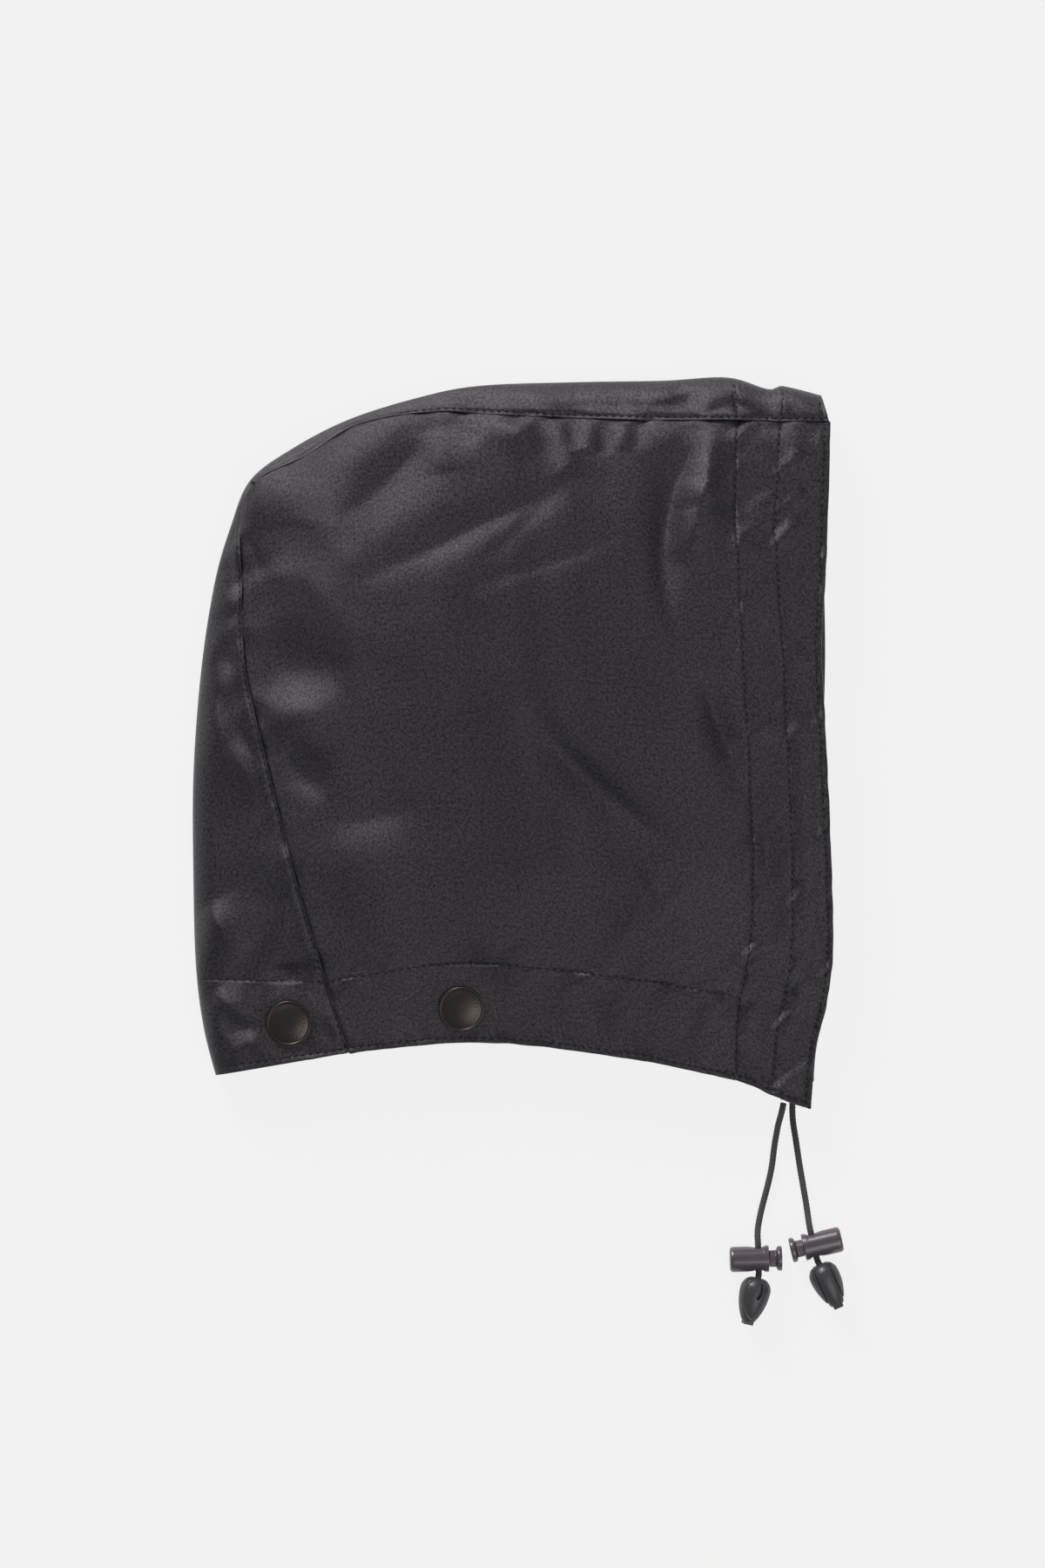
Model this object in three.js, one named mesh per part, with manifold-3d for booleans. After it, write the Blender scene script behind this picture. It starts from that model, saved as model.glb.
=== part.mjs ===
// A detachable hood of waxed cotton, lying on its left side as it is stored.
// Millimetres. +X points towards the face opening, +Y towards the crown, +Z up from the surface it lies on.
import * as THREE from 'three';
import { mergeVertices } from 'three/addons/utils/BufferGeometryUtils.js';
import Module from 'manifold-3d';

const wasm = await Module();
wasm.setup();

// Overall size of the hood as it lies flat.
const hoodDepth = 245;
const hoodHeight = 281;

// Cloth, facings and the clearances between them.
const clothThickness = 1.2;
const facingThickness = 1.0;
const layerGap = 0.45;
const seamGap = 0.4;

// The rounded fold along the crown and back, half as thick as the hood is there.
const foldHalfHeight = 6;
const foldRun = 9;
const mouthFoldHalfHeight = 8.6;

// How far the upper side stands up, and how that fades to the fold, the face opening and the neck.
const loftHeight = 17;
const loftSpread = 45;
const mouthRise = 2.5;
const mouthSpread = 70;
const neckRise = 5.5;
const neckSpread = 75;
const reliefHeight = 4;

// The drawcord and its channel behind the face edge.
const cordDiameter = 2.5;
const cordClearance = 0.45;
const channelWidth = 4.4;

// Press studs: a domed cap outside, a socket inside, and a post through the cloth.
const capDiameter = 17.3;
const capEdgeHeight = 1.1;
const capHeight = 2.1;
const capClearance = 0.4;
const socketClearance = 0.4;
const postReach = 0.8;
const postDiameter = 4.4;
const holeClearance = 0.4;
const socketDiameter = 12.6;
const socketHeight = 2.2;
const socketBore = 5.2;
const studFlat = 14;
const studFade = 14;

// Cord locks: a barrel with a sprung plunger that the cord runs through.
const barrelLength = 15;
const barrelDiameter = 9.7;
const barrelRounding = 1.3;
const plungerDiameter = 6.5;
const plungerClearance = 0.35;
const neckLength = 2.8;
const flangeDiameter = 9.3;
const flangeLength = 2.2;
const flangeChamfer = 0.55;
const edgeChamfer = 0.35;
const cordHoleSetback = 4;
const cordHoleDiameter = 3.6;
const plungerTravel = 2.4;
const plungerWeb = 2;

// Cord ends: an egg-shaped toggle of a core between two cheeks.
const toggleLength = 18.2;
const toggleDiameter = 11.8;
const toggleCoreWidth = 6;
const toggleGap = 0.3;
const toggleHoleDiameter = 3.4;
const toggleHoleDepth = 4;
const toggleTabWidth = 3.8;
const toggleSlotWidth = 2;
const toggleSlotLength = 5;
const toggleSlotDepth = 1.1;
const toggleSlotSetback = 5.5;
const toggleTabLength = 9;

// Mesh fineness.
const bodySteps = 14;
const downSteps = 16;
const neckSteps = 2;
const noseSteps = 3;
const stripSteps = 2;
const noseShare = 0.8;
const fineSamples = 160;
const roundSides = 14;
const smallSides = 12;
const cordSides = 8;
const cordStep = 2.6;
const mostCordSteps = 80;

// The fold and the centre panel's seams, from the face opening over the crown to the nape.
// X columns are shares of hoodDepth and Y columns of hoodHeight, measured from the hood's middle.
// near is the seam on the upper side and far the seam on the lower side.
const crownRow = 10;
const centreRows = [
  { foldX: 0.483, foldY: 0.474, nearX: 0.495, nearY: 0.436, farX: 0.487, farY: 0.429 },
  { foldX: 0.423, foldY: 0.487, nearX: 0.418, nearY: 0.436, farX: 0.419, farY: 0.442 },
  { foldX: 0.399, foldY: 0.483, nearX: 0.393, nearY: 0.437, farX: 0.396, farY: 0.440 },
  { foldX: 0.335, foldY: 0.499, nearX: 0.341, nearY: 0.438, farX: 0.339, farY: 0.450 },
  { foldX: 0.233, foldY: 0.495, nearX: 0.233, nearY: 0.438, farX: 0.233, farY: 0.445 },
  { foldX: 0.097, foldY: 0.493, nearX: 0.097, nearY: 0.441, farX: 0.097, farY: 0.436 },
  { foldX: -0.053, foldY: 0.488, nearX: -0.039, nearY: 0.447, farX: -0.045, farY: 0.419 },
  { foldX: -0.148, foldY: 0.472, nearX: -0.121, nearY: 0.451, farX: -0.139, farY: 0.384 },
  { foldX: -0.257, foldY: 0.442, nearX: -0.238, nearY: 0.435, farX: -0.226, farY: 0.342 },
  { foldX: -0.346, foldY: 0.402, nearX: -0.322, nearY: 0.391, farX: -0.279, farY: 0.308 },
  { foldX: -0.411, foldY: 0.359, nearX: -0.400, nearY: 0.356, farX: -0.312, farY: 0.284 },
  { foldX: -0.442, foldY: 0.295, nearX: -0.423, nearY: 0.298, farX: -0.329, farY: 0.251 },
  { foldX: -0.467, foldY: 0.218, nearX: -0.421, nearY: 0.220, farX: -0.344, farY: 0.189 },
  { foldX: -0.488, foldY: 0.099, nearX: -0.415, nearY: 0.104, farX: -0.355, farY: 0.087 },
  { foldX: -0.500, foldY: -0.043, nearX: -0.376, nearY: -0.043, farX: -0.352, farY: -0.046 },
  { foldX: -0.500, foldY: -0.186, nearX: -0.337, nearY: -0.180, farX: -0.343, farY: -0.181 },
  { foldX: -0.496, foldY: -0.304, nearX: -0.294, nearY: -0.308, farX: -0.329, farY: -0.294 },
  { foldX: -0.484, foldY: -0.387, nearX: -0.267, nearY: -0.383, farX: -0.312, farY: -0.361 },
  { foldX: -0.464, foldY: -0.456, nearX: -0.253, nearY: -0.422, farX: -0.280, farY: -0.415 },
];

// The face edge from the crown seam down to the neck corner, on the upper and the lower side.
const faceRows = [
  { nearX: 0.495, nearY: 0.436, farX: 0.486, farY: 0.423 },
  { nearX: 0.493, nearY: 0.360, farX: 0.488, farY: 0.348 },
  { nearX: 0.488, nearY: 0.241, farX: 0.488, farY: 0.241 },
  { nearX: 0.481, nearY: 0.129, farX: 0.490, farY: 0.123 },
  { nearX: 0.488, nearY: 0.004, farX: 0.488, farY: 0.004 },
  { nearX: 0.494, nearY: -0.114, farX: 0.495, farY: -0.103 },
  { nearX: 0.499, nearY: -0.233, farX: 0.500, farY: -0.209 },
  { nearX: 0.498, nearY: -0.300, farX: 0.500, farY: -0.280 },
  { nearX: 0.490, nearY: -0.356, farX: 0.490, farY: -0.356 },
  { nearX: 0.474, nearY: -0.410, farX: 0.477, farY: -0.412 },
  { nearX: 0.468, nearY: -0.464, farX: 0.473, farY: -0.443 },
  { nearX: 0.465, nearY: -0.499, farX: 0.472, farY: -0.463 },
];

// The neck edge from the face corner back to the centre panel, on the upper and the lower side.
const neckRows = [
  { nearX: 0.465, nearY: -0.499, farX: 0.472, farY: -0.463 },
  { nearX: 0.401, nearY: -0.477, farX: 0.410, farY: -0.458 },
  { nearX: 0.354, nearY: -0.460, farX: 0.355, farY: -0.449 },
  { nearX: 0.273, nearY: -0.444, farX: 0.273, farY: -0.436 },
  { nearX: 0.192, nearY: -0.430, farX: 0.192, farY: -0.423 },
  { nearX: 0.042, nearY: -0.412, farX: 0.042, farY: -0.406 },
  { nearX: -0.080, nearY: -0.407, farX: -0.080, farY: -0.402 },
  { nearX: -0.216, nearY: -0.417, farX: -0.216, farY: -0.409 },
];

// Stitch lines of the facings, from the crown seam (down 0) to the neck edge (down 1).
// inner is the facing's inner edge and tunnel the drawcord channel's, as shares of the side panel's width.
const facingRows = [
  { down: 0, inner: 0.157, tunnel: 0.084 },
  { down: 0.16, inner: 0.155, tunnel: 0.089 },
  { down: 0.33, inner: 0.138, tunnel: 0.067 },
  { down: 0.65, inner: 0.148, tunnel: 0.075 },
  { down: 0.85, inner: 0.172, tunnel: 0.086 },
  { down: 1, inner: 0.173, tunnel: 0.088 },
];
const neckFacingTop = 0.872;
const channelShareNear = 0.68;
const channelShareFar = 0.46;

// Main folds of the upper side, each a bend from one point over another to a third.
// Points are shares of hoodDepth and hoodHeight, width of hoodDepth and rise of reliefHeight.
const foldRows = [
  { from: [0.287, 0.431], over: [0.200, 0.324], to: [0.257, 0.141], width: 0.026, rise: -0.75 },
  { from: [0.312, 0.429], over: [0.300, 0.336], to: [0.273, 0.241], width: 0.030, rise: 0.6 },
  { from: [0.297, 0.099], over: [0.325, 0.016], to: [0.355, -0.069], width: 0.024, rise: -0.4 },
  { from: [0.015, 0.058], over: [0.093, -0.063], to: [0.253, -0.144], width: 0.028, rise: -0.6 },
  { from: [-0.121, 0.443], over: [-0.160, 0.350], to: [-0.278, 0.298], width: 0.040, rise: -0.6 },
  { from: [-0.411, 0.132], over: [-0.332, 0.095], to: [-0.246, 0.092], width: 0.050, rise: -1 },
  { from: [-0.407, 0.049], over: [-0.340, -0.010], to: [-0.257, 0.063], width: 0.040, rise: 0.7 },
  { from: [-0.386, 0.007], over: [-0.332, -0.040], to: [-0.278, -0.055], width: 0.034, rise: -0.6 },
  { from: [-0.305, -0.112], over: [-0.223, -0.110], to: [-0.141, -0.077], width: 0.034, rise: -0.6 },
  { from: [-0.295, -0.188], over: [-0.237, -0.162], to: [-0.155, -0.136], width: 0.034, rise: 0.5 },
  { from: [-0.107, 0.437], over: [-0.019, 0.460], to: [0.083, 0.358], width: 0.034, rise: 0.5 },
  { from: [0.090, 0.358], over: [-0.060, 0.301], to: [-0.257, 0.211], width: 0.026, rise: -0.3 },
];

// Press studs along the neck: the place, and whether it is on a side panel or on the centre panel.
const studRows = [
  { name: 'back', panel: 'centre', x: -0.349, y: -0.380 },
  { name: 'front', panel: 'side', x: -0.080, y: -0.360 },
];

// The free cords' routes, in millimetres, from the channel's mouth to inside the cord end.
const rightCordRoute = [
  [103.6, -137.6, 10.0], [103.2, -139.8, 9.7], [102.6, -142.5, 8.6], [101.8, -145.8, 6.4],
  [101.2, -149.5, 4.0], [100.7, -152.8, 2.3], [100.3, -155.8, 1.6], [99.4, -162.8, 1.4],
  [97.7, -170.5, 1.4], [95.6, -178.5, 1.6], [94.3, -184.6, 2.6], [93.9, -188.4, 4.0],
  [94.06, -192.1, 4.9], [94.2, -197.6, 4.9], [94.34, -202.7, 4.95], [94.25, -203.9, 5.4],
  [94.05, -204.9, 5.95], [93.6, -206.8, 5.95], [93.2, -208.5, 5.95],
];
const leftCordRoute = [
  [108.3, -130.4, 2.9], [108.0, -132.8, 2.6], [107.6, -135.6, 2.1], [107.4, -138.6, 1.6],
  [107.4, -141.8, 1.4], [107.7, -145.8, 1.4], [108.8, -152.8, 1.4], [110.1, -161.5, 1.4],
  [111.5, -169.8, 1.4], [112.6, -176.4, 1.8], [113.3, -181.4, 3.0], [113.7, -184.4, 4.3],
  [114.2, -187.1, 4.9], [115.4, -192.4, 4.9], [116.55, -197.3, 4.95], [117.0, -198.6, 5.4],
  [117.55, -199.7, 5.95], [118.35, -201.45, 5.95], [119.05, -203.0, 5.95],
];

// Where each cord lock and cord end lies on its cord, and which way it points, in degrees from +X.
const lockRows = [
  {
    side: 'right', route: rightCordRoute, holeRow: 13, plungerAngle: 1.5, endRow: 16, endAngle: 256.5,
    bandUp: false,
  },
  {
    side: 'left', route: leftCordRoute, holeRow: 13, plungerAngle: 193, endRow: 16, endAngle: 294.5,
    bandUp: true,
  },
];

// A cord end's outline, along and across, as shares of toggleLength and of half toggleDiameter.
const toggleRows = [
  { along: 0, across: 0.5 },
  { along: 0.07, across: 0.78 },
  { along: 0.17, across: 0.96 },
  { along: 0.3, across: 1 },
  { along: 0.5, across: 0.93 },
  { along: 0.7, across: 0.76 },
  { along: 0.86, across: 0.54 },
  { along: 0.94, across: 0.38 },
];

// A stud cap's outline: across as a share of its radius, up by its edge and then by its dome.
const capRows = [
  { across: 0.96, edge: 0, dome: 0 },
  { across: 1, edge: 0.5, dome: 0 },
  { across: 0.96, edge: 1, dome: 0 },
  { across: 0.86, edge: 1, dome: 0.3 },
  { across: 0.5, edge: 1, dome: 0.8 },
  { across: 0, edge: 1, dome: 1 },
];

// A stud socket's ring outline: out from the bore as a share of the ring, along as a share of its height.
const socketRows = [
  { out: 0, along: 0 },
  { out: 1, along: 0 },
  { out: 1, along: 0.4 },
  { out: 0.76, along: 1 },
  { out: 0.1, along: 1 },
  { out: 0, along: 0.8 },
  { out: 0, along: 0 },
];

const cloth = new THREE.MeshStandardMaterial({ color: 0x37353a, roughness: 0.6, metalness: 0 });
const facing = new THREE.MeshStandardMaterial({ color: 0x323034, roughness: 0.7, metalness: 0 });
const studMetal = new THREE.MeshStandardMaterial({ color: 0x36302d, roughness: 0.4, metalness: 0.8 });
const cordFibre = new THREE.MeshStandardMaterial({ color: 0x2e2d31, roughness: 0.8, metalness: 0 });
const lockPlastic = new THREE.MeshStandardMaterial({ color: 0x4c464e, roughness: 0.45, metalness: 0.1 });
const endPlastic = new THREE.MeshStandardMaterial({ color: 0x3c393f, roughness: 0.3, metalness: 0 });

// Value of one column at a place between rows, on a smooth curve through every row.
function tableValue(rows, column, place) {
  const last = rows.length - 1;
  const row = Math.max(0, Math.min(Math.floor(place), last - 1));
  const f = place - row;
  const at = (k) => rows[Math.max(0, Math.min(last, k))][column];
  const slopeHere = (at(row + 1) - at(row - 1)) / 2;
  const slopeNext = (at(row + 2) - at(row)) / 2;
  const rise = at(row + 1) - at(row);
  const square = 3 * rise - 2 * slopeHere - slopeNext;
  const cube = slopeHere + slopeNext - 2 * rise;
  return at(row) + f * (slopeHere + f * (square + f * cube));
}

function tablePoint(rows, columnX, columnY, place) {
  return new THREE.Vector2(
    tableValue(rows, columnX, place) * hoodDepth,
    tableValue(rows, columnY, place) * hoodHeight,
  );
}

// Maps 0 to 1 onto places from one row to another so that the curve is run at an even pace.
function evenPace(pointAt, from, to) {
  const places = [from];
  const lengths = [0];
  let before = pointAt(from);
  for (let i = 1; i <= fineSamples; i += 1) {
    const place = from + (to - from) * i / fineSamples;
    const point = pointAt(place);
    places.push(place);
    lengths.push(lengths[i - 1] + point.distanceTo(before));
    before = point;
  }
  return (share) => {
    const want = Math.max(0, Math.min(1, share)) * lengths[fineSamples];
    let i = 1;
    while (i < fineSamples && lengths[i] < want) i += 1;
    const f = (want - lengths[i - 1]) / (lengths[i] - lengths[i - 1]);
    return places[i - 1] + f * (places[i] - places[i - 1]);
  };
}

const foldPoint = (place) => tablePoint(centreRows, 'foldX', 'foldY', place);
const nearSeamPoint = (place) => tablePoint(centreRows, 'nearX', 'nearY', place);
const farSeamPoint = (place) => tablePoint(centreRows, 'farX', 'farY', place);
const napeRow = centreRows.length - 1;

const topPace = evenPace(nearSeamPoint, 0, crownRow);
const backPace = evenPace(nearSeamPoint, crownRow, napeRow);

// A side panel's four edges: across runs from the face edge (0) to the back seam (1),
// and down from the crown seam (0) to the neck (1).
function panelEdges(side) {
  const seam = side === 'near' ? nearSeamPoint : farSeamPoint;
  const columnX = `${side}X`;
  const columnY = `${side}Y`;
  const neck = [...neckRows];
  const corner = seam(napeRow);
  neck.push({ [columnX]: corner.x / hoodDepth, [columnY]: corner.y / hoodHeight });
  const face = [...faceRows];
  const start = seam(0);
  face[0] = { [columnX]: start.x / hoodDepth, [columnY]: start.y / hoodHeight };
  const facePoint = (place) => tablePoint(face, columnX, columnY, place);
  const neckPoint = (place) => tablePoint(neck, columnX, columnY, place);
  const facePace = evenPace(facePoint, 0, face.length - 1);
  const neckPace = evenPace(neckPoint, 0, neck.length - 1);
  return {
    crown: (across) => seam(topPace(across)),
    back: (down) => seam(backPace(down)),
    face: (down) => facePoint(facePace(down)),
    neck: (across) => neckPoint(neckPace(across)),
  };
}

const edges = { near: panelEdges('near'), far: panelEdges('far') };

// A point inside four edges: the two blends of facing edges, less the blend of the corners.
function coonsPoint(edge, across, down) {
  const point = new THREE.Vector2();
  point.addScaledVector(edge.crown(across), 1 - down);
  point.addScaledVector(edge.neck(across), down);
  point.addScaledVector(edge.face(down), 1 - across);
  point.addScaledVector(edge.back(down), across);
  point.addScaledVector(edge.crown(0), -(1 - across) * (1 - down));
  point.addScaledVector(edge.crown(1), -across * (1 - down));
  point.addScaledVector(edge.neck(0), -(1 - across) * down);
  point.addScaledVector(edge.neck(1), -across * down);
  return point;
}

const foldLine = Array.from({ length: fineSamples + 1 }, (_, i) => foldPoint(napeRow * i / fineSamples));

function distanceToLine(line, point) {
  let best = { distance: Infinity, share: 0 };
  for (let i = 1; i < line.length; i += 1) {
    const a = line[i - 1];
    const b = line[i];
    const runX = b.x - a.x;
    const runY = b.y - a.y;
    const f = Math.max(0, Math.min(1,
      ((point.x - a.x) * runX + (point.y - a.y) * runY) / (runX * runX + runY * runY)));
    const distance = Math.hypot(point.x - a.x - f * runX, point.y - a.y - f * runY);
    if (distance < best.distance) best = { distance, share: (i - 1 + f) / (line.length - 1) };
  }
  return best;
}

const smooth = (share) => {
  const s = Math.max(0, Math.min(1, share));
  return s * s * (3 - 2 * s);
};

// Each fold as a line of points on a quadratic bend.
const foldSteps = 10;
const folds = foldRows.map((row) => {
  const place = ([x, y]) => new THREE.Vector2(x * hoodDepth, y * hoodHeight);
  const corners = [row.from, row.over, row.to].map(place);
  const line = new THREE.QuadraticBezierCurve(...corners).getPoints(foldSteps);
  return { line, width: row.width * hoodDepth, rise: row.rise * reliefHeight };
});

const studSpots = studRows.map((row) => new THREE.Vector2(row.x * hoodDepth, row.y * hoodHeight));

// 1 on the flat ground of a stud, fading to 0 around it.
function studGround(point) {
  let most = 0;
  for (const spot of studSpots) {
    const away = Math.hypot(point.x - spot.x, point.y - spot.y);
    most = Math.max(most, 1 - smooth((away - studFlat) / studFade));
  }
  return most;
}

// The folds' relief: a bell across each fold, fading at its two ends and around the studs.
function foldRelief(point) {
  let relief = 0;
  for (const fold of folds) {
    const { distance, share } = distanceToLine(fold.line, point);
    const bell = Math.exp(-((distance / fold.width) ** 2));
    relief += fold.rise * bell * Math.sqrt(Math.max(0, Math.sin(Math.PI * share)));
  }
  return relief * (1 - studGround(point));
}

const faceLineX = faceRows[0].nearX * hoodDepth;
const neckLineY = neckRows[neckRows.length - 1].nearY * hoodHeight;

// How far in a point lies from the face opening and from the neck, each from 0 to 1.
const inFromMouth = (point) => smooth((faceLineX - point.x) / mouthSpread);
const inFromNape = (point) => smooth((point.y - neckLineY) / neckSpread);

// The fold is rounder where the drawcord channel runs through it.
function halfHeight(point) {
  const rounder = (1 - inFromMouth(point)) * inFromNape(point);
  return foldHalfHeight + (mouthFoldHalfHeight - foldHalfHeight) * rounder;
}

// How far the upper side stands above the fold, from the loft, the face opening and the neck.
function upperRise(point, foldDistance) {
  const inFromFold = 1 - Math.exp(-foldDistance / loftSpread);
  const inFromFace = inFromMouth(point);
  const inFromNeck = inFromNape(point);
  const mouth = mouthRise + (loftHeight - mouthRise) * inFromFace;
  const neck = neckRise + (loftHeight - neckRise) * inFromNeck;
  return inFromFold * mouth * neck / loftHeight;
}

// Height of the outer face above the ground: a half ellipse round the fold, then the loft and folds above.
function bareHeight(point, above) {
  const { distance } = distanceToLine(foldLine, point);
  const nose = Math.sqrt(1 - (1 - Math.min(1, distance / foldRun)) ** 2);
  const half = halfHeight(point);
  if (above) return half + nose * (half + upperRise(point, distance) + foldRelief(point));
  const lift = (capHeight + capClearance) * studGround(point);
  return half - nose * (half - lift);
}

// The flat ground that a stud presses into the upper side.
const studPlanes = studSpots.map((spot) => {
  const step = 2;
  const heightAt = (dx, dy) => bareHeight(new THREE.Vector2(spot.x + dx, spot.y + dy), true);
  const slopeX = (heightAt(step, 0) - heightAt(-step, 0)) / (2 * step);
  const slopeY = (heightAt(0, step) - heightAt(0, -step)) / (2 * step);
  return { spot, slopeX, slopeY, height: heightAt(0, 0) };
});

function outerHeight(point, above) {
  let height = bareHeight(point, above);
  if (!above) return height;
  for (const plane of studPlanes) {
    const dx = point.x - plane.spot.x;
    const dy = point.y - plane.spot.y;
    const flat = 1 - smooth((Math.hypot(dx, dy) - studFlat) / studFade);
    height += flat * (plane.height + plane.slopeX * dx + plane.slopeY * dy - height);
  }
  return height;
}

function panelPoint(side, across, down) {
  const plan = coonsPoint(edges[side], across, down);
  return new THREE.Vector3(plan.x, plan.y, outerHeight(plan, side === 'near'));
}

// Round the fold, turn 0 is the fold itself and turn 1 the top of the ellipse, and past it the pace stays.
const runAtTurn = (turn) => (turn < 1
  ? foldRun * (1 - Math.cos(turn * Math.PI / 2))
  : foldRun * (1 + (turn - 1) * Math.PI / 2));
const turnAtRun = (run) => (run < foldRun
  ? Math.acos(1 - run / foldRun) * 2 / Math.PI
  : 1 + (run / foldRun - 1) * 2 / Math.PI);

function centrePoint(place, turn) {
  const fold = foldPoint(place);
  const seam = turn >= 0 ? nearSeamPoint(place) : farSeamPoint(place);
  const inward = seam.sub(fold).normalize();
  const plan = fold.addScaledVector(inward, runAtTurn(Math.abs(turn)));
  return new THREE.Vector3(plan.x, plan.y, outerHeight(plan, turn >= 0));
}

function turnAtSeam(place, side) {
  const seam = side === 'near' ? nearSeamPoint(place) : farSeamPoint(place);
  const sign = side === 'near' ? 1 : -1;
  return sign * turnAtRun(foldPoint(place).distanceTo(seam) - seamGap);
}

// A surface point with its outward normal, from small steps along both parameters.
function withNormal(pointAt, a, b, highA, lowB, highB, outward) {
  const step = 1e-3;
  const alongA = pointAt(Math.min(highA, a + step), b).sub(pointAt(Math.max(0, a - step), b));
  const alongB = pointAt(a, Math.min(highB, b + step)).sub(pointAt(a, Math.max(lowB, b - step)));
  const normal = alongA.cross(alongB).normalize();
  return { point: pointAt(a, b), normal: normal.multiplyScalar(outward) };
}

function onPanel(side, across, down) {
  const pointAt = (a, b) => panelPoint(side, a, b);
  return withNormal(pointAt, across, down, 1, 0, 1, side === 'near' ? 1 : -1);
}

const onCentre = (place, turn) => withNormal(centrePoint, place, turn, napeRow, -Infinity, Infinity, 1);

// Columns of every grid: the face edge, the channel's two sides, the two stitch lines, then the body.
const facingSteps = 4;
const columnCount = facingSteps + bodySteps;

function facingShare(column, down) {
  let row = 1;
  while (row < facingRows.length - 1 && facingRows[row].down < down) row += 1;
  const before = facingRows[row - 1];
  const after = facingRows[row];
  const share = (down - before.down) / (after.down - before.down);
  return before[column] + (after[column] - before[column]) * share;
}

function columnAcross(side, column, down, channelShare) {
  const inner = facingShare('inner', down);
  const tunnel = facingShare('tunnel', down);
  if (column === 0) return 0;
  if (column < facingSteps - 1) {
    const width = edges[side].face(down).distanceTo(edges[side].back(down));
    const half = channelWidth / 2 / width;
    return tunnel * channelShare + (column === 1 ? -half : half);
  }
  if (column === facingSteps - 1) return tunnel;
  return inner + (1 - inner) * (column - facingSteps) / bodySteps;
}

const channelShares = { near: channelShareNear, far: channelShareFar };

// Rows of every grid, evenly down to the neck facing's edge and then across the neck facing.
const downRows = [];
for (let i = 0; i < downSteps; i += 1) downRows.push(neckFacingTop * i / downSteps);
for (let i = 0; i <= neckSteps; i += 1) downRows.push(neckFacingTop + (1 - neckFacingTop) * i / neckSteps);

const panelNode = (side, column, down) => onPanel(
  side, columnAcross(side, column, down, channelShares[side]), down);

// Turns round the fold from one seam to the other: the rounded nose in even turns, then the flat stretch.
const turnCount = 2 * (noseSteps + stripSteps);

function turnAt(place, index) {
  const middle = turnCount / 2;
  const side = index < middle ? 'near' : 'far';
  const seamTurn = turnAtSeam(place, side);
  const nose = Math.min(1, noseShare * Math.abs(seamTurn));
  const steps = Math.abs(index - middle);
  if (steps <= noseSteps) return Math.sign(seamTurn) * nose * steps / noseSteps;
  return Math.sign(seamTurn) * (nose + (Math.abs(seamTurn) - nose) * (steps - noseSteps) / stripSteps);
}

function crownNode(column, index) {
  const channelShare = channelShareNear + (channelShareFar - channelShareNear) * index / turnCount;
  const place = topPace(columnAcross('near', column, 0, channelShare));
  return onCentre(place, turnAt(place, index));
}

function napeNode(down, index) {
  const place = backPace(down);
  return onCentre(place, turnAt(place, index));
}

const count = (length, make) => Array.from({ length }, (_, i) => make(i));

// A closed wall from a grid of surface points: depthAt gives how far under the surface its outer face lies.
function wallGeometry(grid, depthAt, thickness) {
  const rows = grid.length;
  const columns = grid[0].length;
  const positions = [];
  for (const layer of [0, thickness]) {
    grid.forEach((line, i) => line.forEach((node, j) => {
      const under = node.point.clone().addScaledVector(node.normal, -(depthAt(i, j) + layer));
      positions.push(under.x, under.y, under.z);
    }));
  }
  const outer = (i, j) => i * columns + j;
  const inner = (i, j) => rows * columns + i * columns + j;
  const index = [];
  const quad = (a, b, c, d) => index.push(a, b, c, a, c, d);
  const across = (i, j, k, l) => grid[i][j].point.distanceTo(grid[k][l].point);
  for (let i = 0; i + 1 < rows; i += 1) {
    for (let j = 0; j + 1 < columns; j += 1) {
      const turned = across(i, j, i + 1, j + 1) > across(i + 1, j, i, j + 1);
      for (const at of [outer, inner]) {
        const corners = [at(i, j), at(i + 1, j), at(i + 1, j + 1), at(i, j + 1)];
        if (turned) corners.push(corners.shift());
        if (at === inner) corners.reverse();
        if (at === inner) corners.unshift(corners.pop());
        quad(...corners);
      }
    }
    quad(outer(i + 1, 0), outer(i, 0), inner(i, 0), inner(i + 1, 0));
    quad(outer(i, columns - 1), outer(i + 1, columns - 1), inner(i + 1, columns - 1), inner(i, columns - 1));
  }
  for (let j = 0; j + 1 < columns; j += 1) {
    quad(outer(0, j), outer(0, j + 1), inner(0, j + 1), inner(0, j));
    quad(outer(rows - 1, j + 1), outer(rows - 1, j), inner(rows - 1, j), inner(rows - 1, j + 1));
  }
  const geometry = new THREE.BufferGeometry();
  geometry.setAttribute('position', new THREE.Float32BufferAttribute(positions, 3));
  geometry.setIndex(index);
  return facingOut(geometry);
}

function signedVolume(geometry) {
  const { array } = geometry.attributes.position;
  const { array: index } = geometry.index;
  const corner = (k) => new THREE.Vector3().fromArray(array, 3 * index[k]);
  let volume = 0;
  for (let k = 0; k < index.length; k += 3) {
    volume += corner(k).dot(corner(k + 1).cross(corner(k + 2))) / 6;
  }
  return volume;
}

// A closed geometry with its shared points merged and its faces turned outwards.
function facingOut(geometry) {
  geometry.deleteAttribute('normal');
  geometry.deleteAttribute('uv');
  const merged = mergeVertices(geometry, 1e-4);
  if (signedVolume(merged) < 0) merged.index.array.reverse();
  return merged;
}

function toSolid(geometry) {
  const closed = facingOut(geometry.clone());
  return new wasm.Manifold(new wasm.Mesh({
    numProp: 3,
    vertProperties: new Float32Array(closed.attributes.position.array),
    triVerts: new Uint32Array(closed.index.array),
  }));
}

function toGeometry(solid) {
  const mesh = solid.getMesh();
  const geometry = new THREE.BufferGeometry();
  geometry.setAttribute('position', new THREE.Float32BufferAttribute(mesh.vertProperties, 3));
  geometry.setIndex(Array.from(mesh.triVerts));
  return geometry;
}

function cutAway(geometry, tools) {
  let solid = toSolid(geometry);
  for (const tool of tools) solid = solid.subtract(toSolid(tool));
  return toGeometry(solid);
}

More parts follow.
